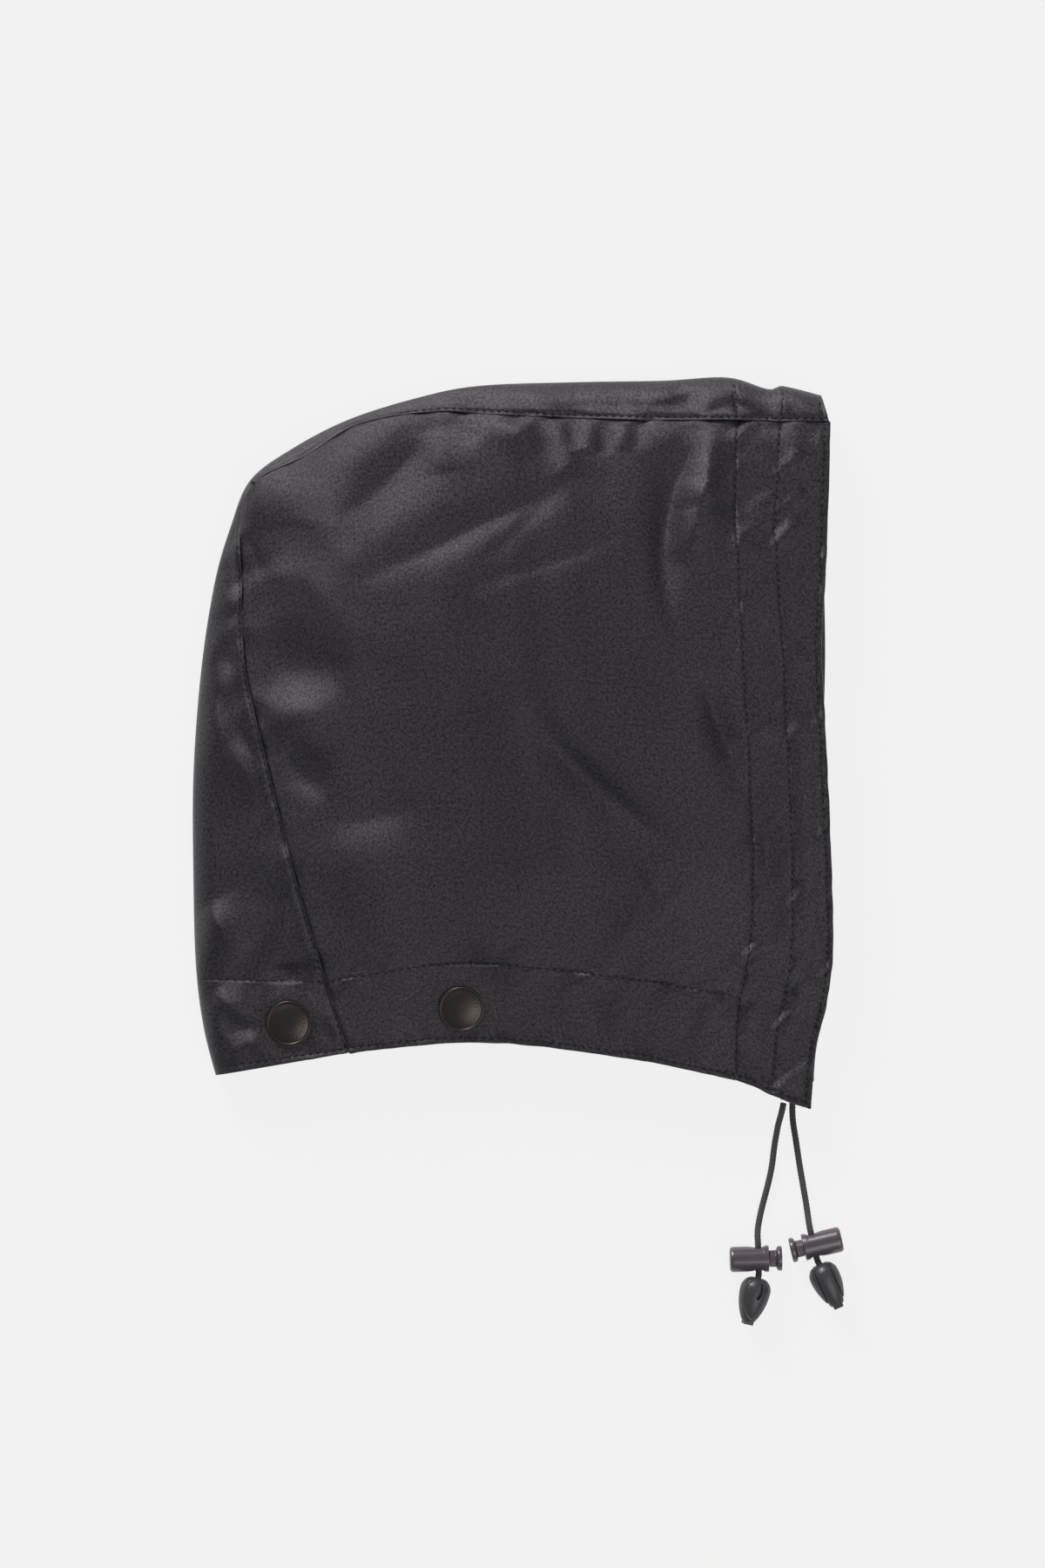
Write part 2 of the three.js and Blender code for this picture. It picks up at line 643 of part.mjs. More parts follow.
const hood = new THREE.Group();

function addPiece(name, geometry, material) {
  const mesh = new THREE.Mesh(geometry, material);
  mesh.name = name;
  hood.add(mesh);
  return mesh;
}

const upAxis = new THREE.Vector3(0, 1, 0);

// The four studs: the upper side's two and, under them, the lower side's two.
const studs = ['right', 'left'].flatMap((side) => studRows.map((row, i) => {
  const above = side === 'right';
  const { spot, slopeX, slopeY } = studPlanes[i];
  const normal = above ? new THREE.Vector3(-slopeX, -slopeY, 1).normalize() : new THREE.Vector3(0, 0, -1);
  const point = new THREE.Vector3(spot.x, spot.y, outerHeight(spot, above));
  return { name: `${side}_${row.name}`, side, panel: row.panel, normal, point };
}));

// A hole through every layer of cloth under a stud.
function studHole(stud) {
  const length = 3 * (clothThickness + layerGap + facingThickness);
  const hole = new THREE.CylinderGeometry(
    postDiameter / 2 + holeClearance, postDiameter / 2 + holeClearance, length, smallSides);
  hole.applyQuaternion(new THREE.Quaternion().setFromUnitVectors(upAxis, stud.normal));
  hole.translate(stud.point.x, stud.point.y, stud.point.z);
  return hole;
}

const holesOn = (test) => studs.filter(test).map(studHole);

function addShell() {
  const panelGrid = (side) => downRows.map((down) => count(columnCount + 1, (c) => panelNode(side, c, down)));
  const near = wallGeometry(panelGrid('near'), () => 0, clothThickness);
  const far = wallGeometry(panelGrid('far'), () => 0, clothThickness);
  const crown = count(columnCount, (column) => count(turnCount + 1, (index) => crownNode(column, index)));
  const nape = downRows.map((down) => count(turnCount + 1, (index) => napeNode(down, index)));
  const centre = wallGeometry([...crown, ...nape], () => 0, clothThickness);
  const onSide = (side) => holesOn((stud) => stud.side === side && stud.panel === 'side');
  addPiece('right_side_panel', cutAway(near, onSide('right')), cloth);
  addPiece('left_side_panel', cutAway(far, onSide('left')), cloth);
  addPiece('centre_panel', cutAway(centre, holesOn((stud) => stud.panel === 'centre')), cloth);
}

// A band round the inside of the hood: up the near side, over the fold and down the far side.
function aroundBand(near, over, far) {
  const inside = count(turnCount - 1, (index) => over(index + 1));
  return [...near, ...inside, ...[...far].reverse()];
}

const shellDepth = clothThickness + layerGap;
const channelDepth = clothThickness + cordDiameter + 2 * cordClearance;

function addFrontFacing() {
  const columns = count(facingSteps + 1, (column) => column);
  const sideLines = (side) => downRows.map((down) => columns.map((column) => panelNode(side, column, down)));
  const over = (index) => columns.map((column) => crownNode(column, index));
  const grid = aroundBand(sideLines('near').reverse(), over, sideLines('far').reverse());
  const depthAt = (i, column) => (column === 1 || column === 2 ? channelDepth : shellDepth);
  addPiece('front_facing', wallGeometry(grid, depthAt, facingThickness), facing);
}

function addNeckFacing() {
  const rows = downRows.slice(downSteps);
  const columns = count(bodySteps + 1, (i) => facingSteps + i);
  const clearOf = (side, column, down) => {
    const width = edges[side].face(down).distanceTo(edges[side].back(down));
    const across = columnAcross(side, column, down, channelShares[side]);
    return onPanel(side, column === facingSteps ? across + seamGap / width : across, down);
  };
  const sideLines = (side) => columns.map((column) => rows.map((down) => clearOf(side, column, down)));
  const over = (index) => rows.map((down) => napeNode(down, index));
  const grid = aroundBand(sideLines('near'), over, sideLines('far'));
  const band = wallGeometry(grid, () => shellDepth, facingThickness);
  addPiece('neck_facing', cutAway(band, holesOn(() => true)), facing);
}

function tubeAlong(points, diameter, step) {
  const curve = new THREE.CatmullRomCurve3(points, false, 'centripetal');
  const outline = new THREE.Shape(count(cordSides, (i) => {
    const angle = 2 * Math.PI * i / cordSides;
    return new THREE.Vector2(Math.cos(angle), Math.sin(angle)).multiplyScalar(diameter / 2);
  }));
  const steps = Math.min(mostCordSteps, Math.round(curve.getLength() / step));
  return facingOut(new THREE.ExtrudeGeometry(outline, { steps, extrudePath: curve }));
}

// A closed tube with one ring at each centre, squared up to the normal given there.
function ringTube(stations, radius) {
  const last = stations.length - 1;
  const positions = [];
  stations.forEach(({ centre, normal }, i) => {
    const before = stations[Math.max(0, i - 1)].centre;
    const after = stations[Math.min(last, i + 1)].centre;
    const along = after.clone().sub(before).normalize();
    const side = along.clone().cross(normal).normalize();
    const out = side.clone().cross(along);
    for (let k = 0; k < cordSides; k += 1) {
      const angle = 2 * Math.PI * k / cordSides;
      const point = centre.clone().addScaledVector(out, radius * Math.cos(angle));
      point.addScaledVector(side, radius * Math.sin(angle));
      positions.push(point.x, point.y, point.z);
    }
  });
  const index = [];
  for (let i = 0; i < last; i += 1) {
    for (let k = 0; k < cordSides; k += 1) {
      const here = i * cordSides + k;
      const beside = i * cordSides + (k + 1) % cordSides;
      index.push(here, beside, beside + cordSides, here, beside + cordSides, here + cordSides);
    }
  }
  for (let k = 1; k + 1 < cordSides; k += 1) {
    index.push(0, k + 1, k, last * cordSides, last * cordSides + k, last * cordSides + k + 1);
  }
  const geometry = new THREE.BufferGeometry();
  geometry.setAttribute('position', new THREE.Float32BufferAttribute(positions, 3));
  geometry.setIndex(index);
  return facingOut(geometry);
}

// The drawcord's stretch inside its channel, from one neck corner over the crown to the other.
function addChannelCord() {
  const depth = clothThickness + cordClearance + cordDiameter / 2;
  const under = (node) => ({
    centre: node.point.clone().addScaledVector(node.normal, -depth),
    normal: node.normal,
  });
  const onSide = (side) => downRows.map((down) => {
    const across = facingShare('tunnel', down) * channelShares[side];
    return under(onPanel(side, across, down));
  });
  const over = count(turnCount - 1, (i) => {
    const channelShare = channelShareNear + (channelShareFar - channelShareNear) * (i + 1) / turnCount;
    const place = topPace(facingShare('tunnel', 0) * channelShare);
    return under(onCentre(place, turnAt(place, i + 1)));
  });
  const stations = [...onSide('near').reverse(), ...over, ...onSide('far')];
  addPiece('drawcord_run', ringTube(stations, cordDiameter / 2), cordFibre);
}

const lathe = (profile, sides) => facingOut(
  new THREE.LatheGeometry(profile.map(([across, along]) => new THREE.Vector2(across, along)), sides));

function addStuds() {
  const under = shellDepth + facingThickness;
  const capRadius = capDiameter / 2;
  const postRadius = postDiameter / 2;
  const postLength = capClearance + under + socketClearance + postReach;
  const capProfile = [[0, -postLength], [postRadius, -postLength], [postRadius, 0]];
  capRows.forEach(({ across, edge, dome }) => {
    capProfile.push([across * capRadius, edge * capEdgeHeight + dome * (capHeight - capEdgeHeight)]);
  });
  const bore = socketBore / 2;
  const ring = socketDiameter / 2 - bore;
  const socketProfile = socketRows.map(({ out, along }) => [bore + out * ring, along * socketHeight]);
  for (const stud of studs) {
    const cap = addPiece(`${stud.name}_stud_cap`, lathe(capProfile, roundSides), studMetal);
    cap.quaternion.setFromUnitVectors(upAxis, stud.normal);
    cap.position.copy(stud.point).addScaledVector(stud.normal, capClearance);
    const socket = addPiece(`${stud.name}_stud_socket`, lathe(socketProfile, roundSides), studMetal);
    const inward = stud.normal.clone().negate();
    socket.quaternion.setFromUnitVectors(upAxis, inward);
    socket.position.copy(stud.point).addScaledVector(inward, under + socketClearance);
  }
}

const degrees = Math.PI / 180;
const vector = ([x, y, z]) => new THREE.Vector3(x, y, z);

function addCords() {
  addPiece('right_drawcord', tubeAlong(rightCordRoute.map(vector), cordDiameter, cordStep), cordFibre);
  addPiece('left_drawcord', tubeAlong(leftCordRoute.map(vector), cordDiameter, cordStep), cordFibre);
}

// A solid turned about its local X axis, from a profile of [across, along] points.
const turnedOnX = (profile, sides) => lathe(profile, sides).rotateZ(-Math.PI / 2);

const box = (size, middle) => new THREE.BoxGeometry(...size).translate(...middle);

// A cord lock: the barrel's cord hole and the plunger's slot are in line, with the slot long enough to press.
function addLock(row) {
  const [holeX, holeY, holeZ] = row.route[row.holeRow];
  const half = barrelLength / 2;
  const holeAlong = half - cordHoleSetback;
  const radius = barrelDiameter / 2;
  const stem = plungerDiameter / 2;
  const bore = stem + plungerClearance;
  const slotHalf = cordHoleDiameter / 2;
  const stemEnd = holeAlong - slotHalf - plungerWeb;
  const boreEnd = stemEnd - plungerTravel - plungerClearance;
  const roundMiddle = barrelRounding * (1 - Math.SQRT1_2);
  const barrelProfile = [
    [0, -half], [radius - barrelRounding, -half], [radius - roundMiddle, -half + roundMiddle],
    [radius, -half + barrelRounding], [radius, half - edgeChamfer], [radius - edgeChamfer, half],
    [bore, half], [bore, boreEnd], [0, boreEnd],
  ];
  const crossHole = new THREE.CylinderGeometry(slotHalf, slotHalf, 2 * barrelDiameter, smallSides);
  crossHole.translate(holeAlong, 0, 0);
  const barrel = cutAway(turnedOnX(barrelProfile, roundSides), [crossHole]);
  const flange = flangeDiameter / 2;
  const flangeStart = half + neckLength;
  const flangeEnd = flangeStart + flangeLength;
  const plungerProfile = [
    [0, stemEnd], [stem, stemEnd], [stem, flangeStart - edgeChamfer], [flange, flangeStart],
    [flange, flangeEnd - flangeChamfer], [flange - flangeChamfer, flangeEnd], [0, flangeEnd],
  ];
  const slotLength = 2 * slotHalf + plungerTravel;
  const slot = box([slotLength, 2 * barrelDiameter, 2 * slotHalf], [holeAlong + plungerTravel / 2, 0, 0]);
  const plunger = cutAway(turnedOnX(plungerProfile, smallSides), [slot]);
  const angle = row.plungerAngle * degrees;
  const centreX = holeX - holeAlong * Math.cos(angle);
  const centreY = holeY - holeAlong * Math.sin(angle);
  for (const [name, geometry] of [['lock_barrel', barrel], ['lock_plunger', plunger]]) {
    const mesh = addPiece(`${row.side}_${name}`, geometry, lockPlastic);
    mesh.position.set(centreX, centreY, holeZ);
    mesh.rotation.z = angle;
  }
}

// A cord end: an egg turned about local X, cut into a core with a tab and two cheeks with a slot each.
function addCordEnd(row) {
  const radius = toggleDiameter / 2;
  const profile = toggleRows.map(({ along, across }) => [across * radius, along * toggleLength]);
  profile.unshift([0, 0]);
  profile.push([0, toggleRows[toggleRows.length - 1].along * toggleLength]);
  const egg = toSolid(turnedOnX(profile, roundSides));
  const middle = [0, 0, 0];
  const slab = toSolid(box([2 * toggleLength, toggleCoreWidth, 2 * toggleDiameter], middle));
  const gapWidth = toggleCoreWidth + 2 * toggleGap;
  const gapSlab = toSolid(box([2 * toggleLength, gapWidth, 2 * toggleDiameter], middle));
  const tabMiddle = [toggleLength - toggleTabLength / 2, 0, 0];
  const tab = toSolid(box([toggleTabLength, toggleTabWidth, toggleTabWidth], tabMiddle));
  const holeRadius = toggleHoleDiameter / 2;
  const hole = new THREE.CylinderGeometry(holeRadius, holeRadius, 2 * toggleHoleDepth, smallSides);
  const core = egg.intersect(slab).add(tab).subtract(toSolid(hole.rotateZ(Math.PI / 2)));
  const slotSize = [toggleSlotLength, 2 * toggleSlotDepth, toggleSlotWidth];
  const slots = [1, -1].map((hand) => toSolid(box(slotSize, [toggleSlotSetback, hand * radius, 0])));
  const cheeks = egg.subtract(gapSlab).subtract(slots[0]).subtract(slots[1]);
  const halfSize = [2 * toggleLength, toggleDiameter, 2 * toggleDiameter];
  const half = (hand) => toSolid(box(halfSize, [0, hand * radius, 0]));
  const pieces = [
    ['end_core', core],
    ['end_upper_cheek', cheeks.intersect(half(1))],
    ['end_lower_cheek', cheeks.intersect(half(-1))],
  ];
  for (const [name, solid] of pieces) {
    const mesh = addPiece(`${row.side}_${name}`, toGeometry(solid), endPlastic);
    mesh.position.copy(vector(row.route[row.endRow]));
    mesh.rotation.order = 'ZYX';
    mesh.rotation.z = row.endAngle * degrees;
    mesh.rotation.x = row.bandUp ? 0 : Math.PI / 2;
  }
}

addShell();
addFrontFacing();
addNeckFacing();
addChannelCord();
addStuds();
addCords();
lockRows.forEach(addLock);
lockRows.forEach(addCordEnd);

export default hood;
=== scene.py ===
"""The looks of a detachable hood of waxed cotton that lies on its left side.

Metres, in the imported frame: +X towards the face opening, +Y towards the crown, +Z up. The upper side is the
wearer's right. The cloth is worked out with numpy from the solids' own edges and heights, with finer folds.
"""
import math

import bpy
import numpy as np
from bpy.props import FloatProperty, FloatVectorProperty, PointerProperty
from mathutils import Euler, Matrix, Vector


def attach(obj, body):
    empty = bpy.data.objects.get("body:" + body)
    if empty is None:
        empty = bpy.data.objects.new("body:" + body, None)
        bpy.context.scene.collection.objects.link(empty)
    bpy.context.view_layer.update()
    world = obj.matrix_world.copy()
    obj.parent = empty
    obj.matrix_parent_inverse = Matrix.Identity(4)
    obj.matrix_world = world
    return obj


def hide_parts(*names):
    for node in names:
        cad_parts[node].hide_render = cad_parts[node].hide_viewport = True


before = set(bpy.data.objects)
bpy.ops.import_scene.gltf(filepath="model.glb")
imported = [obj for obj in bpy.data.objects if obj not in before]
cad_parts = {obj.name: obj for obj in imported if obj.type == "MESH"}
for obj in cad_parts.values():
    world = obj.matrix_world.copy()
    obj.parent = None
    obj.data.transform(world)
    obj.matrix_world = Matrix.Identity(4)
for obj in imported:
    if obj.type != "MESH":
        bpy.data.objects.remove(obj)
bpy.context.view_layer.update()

bl_info = {
    "name": "Detachable hood",
    "version": (1, 0, 0),
    "blender": (4, 5, 0),
    "location": "3D View > Sidebar > Hood",
    "description": "A waxed-cotton hood with press studs, a drawcord, cord locks and cord ends",
    "category": "Object",
}

MM = 0.001
BODY = "hood"
PLUNGER_BODIES = {"right": "right_plunger", "left": "left_plunger"}

# The fold and the centre panel's two seams, from the face opening over the crown to the nape, as shares of
# the hood's depth and height. near is the upper side's seam and far the lower side's.
CROWN_ROW = 10
CENTRE = {
    "fold": [
        (0.483, 0.474), (0.423, 0.487), (0.399, 0.483), (0.335, 0.499), (0.233, 0.495), (0.097, 0.493),
        (-0.053, 0.488), (-0.148, 0.472), (-0.257, 0.442), (-0.346, 0.402), (-0.411, 0.359), (-0.442, 0.295),
        (-0.467, 0.218), (-0.488, 0.099), (-0.500, -0.043), (-0.500, -0.186), (-0.496, -0.304),
        (-0.484, -0.387), (-0.464, -0.456),
    ],
    "near": [
        (0.495, 0.436), (0.418, 0.436), (0.393, 0.437), (0.341, 0.438), (0.233, 0.438), (0.097, 0.441),
        (-0.039, 0.447), (-0.121, 0.451), (-0.238, 0.435), (-0.322, 0.391), (-0.400, 0.356), (-0.423, 0.298),
        (-0.421, 0.220), (-0.415, 0.104), (-0.376, -0.043), (-0.337, -0.180), (-0.294, -0.308),
        (-0.267, -0.383), (-0.253, -0.422),
    ],
    "far": [
        (0.487, 0.429), (0.419, 0.442), (0.396, 0.440), (0.339, 0.450), (0.233, 0.445), (0.097, 0.436),
        (-0.045, 0.419), (-0.139, 0.384), (-0.226, 0.342), (-0.279, 0.308), (-0.312, 0.284), (-0.329, 0.251),
        (-0.344, 0.189), (-0.355, 0.087), (-0.352, -0.046), (-0.343, -0.181), (-0.329, -0.294),
        (-0.312, -0.361), (-0.280, -0.415),
    ],
}

# The face edge below the crown seam, down to the neck corner.
FACE = {
    "near": [
        (0.493, 0.360), (0.488, 0.241), (0.481, 0.129), (0.488, 0.004), (0.494, -0.114), (0.499, -0.233),
        (0.498, -0.300), (0.490, -0.356), (0.474, -0.410), (0.468, -0.464), (0.465, -0.499),
    ],
    "far": [
        (0.488, 0.348), (0.488, 0.241), (0.490, 0.123), (0.488, 0.004), (0.495, -0.103), (0.500, -0.209),
        (0.500, -0.280), (0.490, -0.356), (0.477, -0.412), (0.473, -0.443), (0.472, -0.463),
    ],
}

# The neck edge from the face corner back to the centre panel.
NECK = {
    "near": [
        (0.465, -0.499), (0.401, -0.477), (0.354, -0.460), (0.273, -0.444), (0.192, -0.430), (0.042, -0.412),
        (-0.080, -0.407), (-0.216, -0.417),
    ],
    "far": [
        (0.472, -0.463), (0.410, -0.458), (0.355, -0.449), (0.273, -0.436), (0.192, -0.423), (0.042, -0.406),
        (-0.080, -0.402), (-0.216, -0.409),
    ],
}

# Stitch lines of the face facing as shares of the side panel's width, from crown (down 0) to neck (down 1).
FACING = {
    "down": (0, 0.16, 0.33, 0.65, 0.85, 1),
    "inner": (0.157, 0.155, 0.138, 0.148, 0.172, 0.173),
    "tunnel": (0.084, 0.089, 0.067, 0.075, 0.086, 0.088),
}
NECK_LINE = 0.872

# The drawcord's line as shares of the tunnel's width, and how it lifts the cloth above it.
CHANNEL = {"near": 0.68, "far": 0.46}
CHANNEL_RISE = 0.7 * MM
CHANNEL_SPREAD = 3.4 * MM

# Seeds of the puckers along each line of stitches.
PUCKERS = {"inner": 11, "tunnel": 12, "edge": 13, "neck": 14, "hem": 15, "seam": 16, "back seam": 17,
           "over inner": 21, "over tunnel": 22, "over edge": 23, "over neck": 24, "over hem": 25}

# Main folds: three points of a bend in shares of depth and height, width in depth and rise in relief.
FOLDS = [
    ((0.287, 0.431), (0.200, 0.324), (0.257, 0.141), 0.026, -0.75),
    ((0.312, 0.429), (0.300, 0.336), (0.273, 0.241), 0.030, 0.6),
    ((0.297, 0.099), (0.325, 0.016), (0.355, -0.069), 0.024, -0.4),
    ((0.015, 0.058), (0.093, -0.063), (0.253, -0.144), 0.028, -0.6),
    ((-0.121, 0.443), (-0.160, 0.350), (-0.278, 0.298), 0.040, -0.6),
    ((-0.411, 0.132), (-0.332, 0.095), (-0.246, 0.092), 0.050, -1),
    ((-0.407, 0.040), (-0.345, -0.005), (-0.262, 0.070), 0.056, 0.55),
    ((-0.386, 0.007), (-0.332, -0.040), (-0.278, -0.055), 0.034, -0.6),
    ((-0.305, -0.112), (-0.223, -0.110), (-0.141, -0.077), 0.036, -0.3),
    ((-0.295, -0.188), (-0.237, -0.162), (-0.155, -0.136), 0.036, 0.12),
    ((-0.107, 0.437), (-0.019, 0.460), (0.083, 0.358), 0.034, 0.5),
    ((0.090, 0.358), (-0.060, 0.301), (-0.257, 0.211), 0.026, -0.3),
]

# Creases of the upper side: rise (a valley is negative), then in millimetres the width, the sharpness of
# the bend and the points.
CREASES = [
    (-0.9, 3.5, 0.8, [(70, 121), (69, 111), (62, 98), (58, 81), (57, 68), (59, 53), (64, 36)]),
    (0.7, 5, 1.5, [(76, 120), (73, 94), (66, 68)]),
    (-0.8, 3.5, 0.8, [(73, 28), (76, 13), (82, -2), (87, -19)]),
    (-1.0, 4, 0.9, [(90, -6), (94, -26), (97, -42), (100, -59), (104, -67)]),
    (-1.1, 4, 0.8, [(4, 16), (17, -2), (27, -12), (45, -27), (62, -40)]),
    (-0.5, 4, 0.9, [(-30, 124), (-36, 113), (-46, 103), (-56, 93), (-68, 84)]),
    (0.6, 5, 1.5, [(-30, 120), (-26, 103)]),
    (-0.5, 2.4, 0.5, [(20, 100), (4, 90), (-13, 83), (-30, 74), (-46, 68), (-63, 60)]),
    (-0.35, 2.4, 0.5, [(20, 98), (9, 88), (-5, 74), (-13, 66)]),
    (-0.45, 2.4, 0.5, [(45, 80), (29, 74), (12, 68), (-5, 63), (-16, 58), (-26, 50)]),
    (0.9, 4, 1, [(16, 124), (19, 113), (23, 101)]),
    (-0.8, 4, 1, [(7, 122), (13, 114), (20, 105)]),
    (0.6, 5, 1.5, [(-11, 124), (0, 119), (9, 111)]),
    (-0.5, 4, 1, [(-24, 125), (-14, 115)]),
    (-0.5, 3, 1, [(22, 123), (25, 112)]),
    (0.6, 3, 1, [(28, 123), (30, 110)]),
    (-0.6, 3, 1, [(34, 123), (36, 110)]),
    (0.6, 3, 1, [(41, 123), (42, 111)]),
    (-0.5, 3, 1, [(48, 123), (48, 112)]),
    (0.8, 12, 4, [(-63, 120), (-80, 106), (-96, 94), (-100, 81), (-93, 70)]),
    (-0.6, 5, 1.2, [(-103, 81), (-98, 71), (-95, 63)]),
    (0.4, 7, 1.6, [(-100, 78), (-91, 66), (-78, 61), (-68, 51), (-58, 40), (-55, 30)]),
    (-0.25, 7, 1.6, [(-81, 33), (-63, 26)]),
    (0.25, 9, 3, [(-88, 17), (-72, 8)]),
    (-0.35, 5, 1, [(-95, 4), (-83, -2), (-71, -9)]),
    (-0.5, 5, 1, [(-90, -6), (-71, -20)]),
    (-0.4, 4, 0.8, [(-73, -30), (-55, -29), (-36, -22)]),
    (0.9, 6, 1.4, [(-116, 16), (-111, 6), (-106, -4), (-100, -14), (-93, -20)]),
    (-0.7, 5, 1.2, [(-113, 21), (-105, 3), (-96, -6)]),
    (0.5, 6, 1.6, [(-111, 60), (-110, 50)]),
    (-0.5, 5, 1.4, [(-108, 71), (-107, 63)]),
    (-0.6, 5, 1.2, [(-115, 33), (-103, 30)]),
    (-0.6, 12, 4, [(-111, -52), (-85, -62)]),
    (1.5, 8, 1.6, [(-117, -62), (-111, -71), (-101, -80)]),
    (-0.8, 4, 1, [(-87, -84), (-86, -92)]),
    (1.4, 5, 1.2, [(-114, -95), (-106, -101), (-97, -100)]),
    (-1.2, 5, 1.2, [(-113, -107), (-94, -109)]),
    (1.2, 6, 1.4, [(-110, -119), (-98, -114), (-88, -117)]),
    (0.4, 5, 1.4, [(-10, 134), (15, 130), (40, 130)]),
    (-0.4, 4, 1, [(-26, 133), (-13, 128), (7, 126)]),
    (0.4, 5, 1.4, [(49, 133), (62, 133)]),
    (-0.4, 4, 1, [(66, 134), (68, 128)]),
    (0.4, 4, 1, [(74, 134), (76, 127)]),
    (0.5, 5, 1.4, [(73, 101), (74, 91)]),
    (0.5, 4, 1, [(92, 103), (99, 111)]),
    (-0.5, 4, 0.9, [(77, 88), (85, 94), (99, 98), (104, 103)]),
    (0.5, 4, 1, [(104, 104), (110, 113)]),
    (-0.5, 4, 0.9, [(95, 88), (104, 94), (119, 103)]),
    (0.4, 4, 1, [(104, 93), (112, 96)]),
    (0.4, 4, 1, [(101, 74), (107, 88)]),
    (0.4, 5, 1.2, [(85, 83), (89, 68)]),
    (0.5, 6, 1.6, [(89, 63), (102, 41)]),
    (0.5, 7, 2, [(93, 10), (94, 0)]),
    (-0.25, 3, 0.8, [(80, 16), (99, 16), (117, 16)]),
    (0.4, 5, 1.4, [(114, 38), (115, 28)]),
    (0.4, 6, 1.6, [(50, -54), (56, -50)]),
    (0.3, 6, 1.6, [(60, -56), (64, -61)]),
    (-0.5, 9, 3, [(20, -57), (45, -69)]),
    (0.4, 5, 1.4, [(77, -96), (87, -82)]),
    (0.4, 5, 1.4, [(69, -106), (80, -96)]),
    (-0.4, 5, 1.4, [(59, -119), (74, -100)]),
    (0.4, 6, 1.6, [(35, -109), (50, -99)]),
    (0.3, 6, 1.6, [(15, -104), (27, -96)]),
    (0.4, 5, 1.4, [(87, -107), (97, -97)]),
    (0.4, 5, 1.4, [(92, -76), (95, -83)]),
    (0.4, 5, 1.4, [(107, -96), (114, -89)]),
    (0.4, 4, 1.2, [(117, -56), (120, -72)]),
    (-0.4, 4, 1.2, [(82, -112), (83, -120)]),
    (-0.7, 3, 0.7, [(99, -130), (106, -124), (114, -120)]),
]

# Rumple of the whole cloth, as height and cell size in millimetres, finest last.
RUMPLE = [(1.0, 55), (0.5, 22), (0.12, 8)]

# The studs' places as shares of depth and height.
STUDS = {"back": (-0.349, -0.380), "front": (-0.080, -0.360)}

# The free cords' routes, from the channel's mouth to inside the cord end.
CORD_ROUTES = {
    "right": [
        (0.1036, -0.1376, 0.0100), (0.1032, -0.1398, 0.0097), (0.1026, -0.1425, 0.0086),
        (0.1018, -0.1458, 0.0064), (0.1012, -0.1495, 0.0040), (0.1007, -0.1528, 0.0023),
        (0.1003, -0.1558, 0.0016), (0.0994, -0.1628, 0.0014), (0.0977, -0.1705, 0.0014),
        (0.0956, -0.1785, 0.0016), (0.0943, -0.1846, 0.0026), (0.0939, -0.1884, 0.0040),
        (0.09406, -0.1921, 0.0049), (0.0942, -0.1976, 0.0049), (0.09434, -0.2027, 0.00495),
        (0.09425, -0.2039, 0.0054), (0.09405, -0.2049, 0.00595), (0.0936, -0.2068, 0.00595),
        (0.0932, -0.2085, 0.00595),
    ],
    "left": [
        (0.1083, -0.1304, 0.0029), (0.1080, -0.1328, 0.0026), (0.1076, -0.1356, 0.0021),
        (0.1074, -0.1386, 0.0016), (0.1074, -0.1418, 0.0014), (0.1077, -0.1458, 0.0014),
        (0.1088, -0.1528, 0.0014), (0.1101, -0.1615, 0.0014), (0.1115, -0.1698, 0.0014),
        (0.1126, -0.1764, 0.0018), (0.1133, -0.1814, 0.0030), (0.1137, -0.1844, 0.0043),
        (0.1142, -0.1871, 0.0049), (0.1154, -0.1924, 0.0049), (0.11655, -0.1973, 0.00495),
        (0.1170, -0.1986, 0.0054), (0.11755, -0.1997, 0.00595), (0.11835, -0.20145, 0.00595),
        (0.11905, -0.2030, 0.00595),
    ],
}

# The routes' rows in a lock's cord hole and in a cord end's mouth, and how the pieces there lie, in degrees.
LOCK_ROW = 13
END_ROW = 16
LOCK_ANGLES = {"right": 1.5, "left": 193.0}
END_ANGLES = {"right": 256.5, "left": 294.5}
END_ROLLS = {"right": 73.0, "left": 0.0}

END_PIECES = {"core": "end_core", "upper": "end_upper_cheek", "lower": "end_lower_cheek"}

# A cord end's outline as shares of its length and half its diameter.
EGG = [
    (0, 0.46), (0.025, 0.62), (0.07, 0.78), (0.17, 0.96), (0.3, 1), (0.5, 0.93), (0.7, 0.76), (0.86, 0.54),
    (0.92, 0.42), (0.94, 0.34),
]

# Area lights that face the hood: name, place, size in metres and power in watts.
LIGHTS = [
    ("key light", (-1.6, 3.4, 1.75), 1.35, 145.0),
    ("fill light", (1.2, -1.3, 2.3), 1.8, 25.0),
]

# Steps along a curve where its length is measured.
FINE = 160

# Grid cells of each cloth between its stitch lines, and how far they gather along those lines.
SIDE_CELLS = {"near": ((6, 22, 22, 132), (164, 34, 6)), "far": ((6, 16, 16, 84), (110, 24, 6))}
SIDE_PINCH = 0.75
CENTRE_CELLS = ((6, 14, 14, 115, 120, 26, 6), (6, 24, 12, 12, 20))
CENTRE_PINCH = (0.6, 0.5)
FACING_CELLS = (26, 16)
FACING_PINCH = 0.3


def metres(name, description, default):
    """A length that a user may change."""
    return FloatProperty(name=name, description=description, default=default, min=0.0, precision=5,
                         subtype="DISTANCE", unit="LENGTH")


def colour(name, description, default):
    """A colour that a user may change."""
    return FloatVectorProperty(name=name, description=description, default=default, size=3, min=0.0,
                               max=1.0, subtype="COLOR")


def portion(name, description, default):
    """A share from 0 to 1 that a user may change."""
    return FloatProperty(name=name, description=description, default=default, min=0.0, max=1.0,
                         subtype="FACTOR")


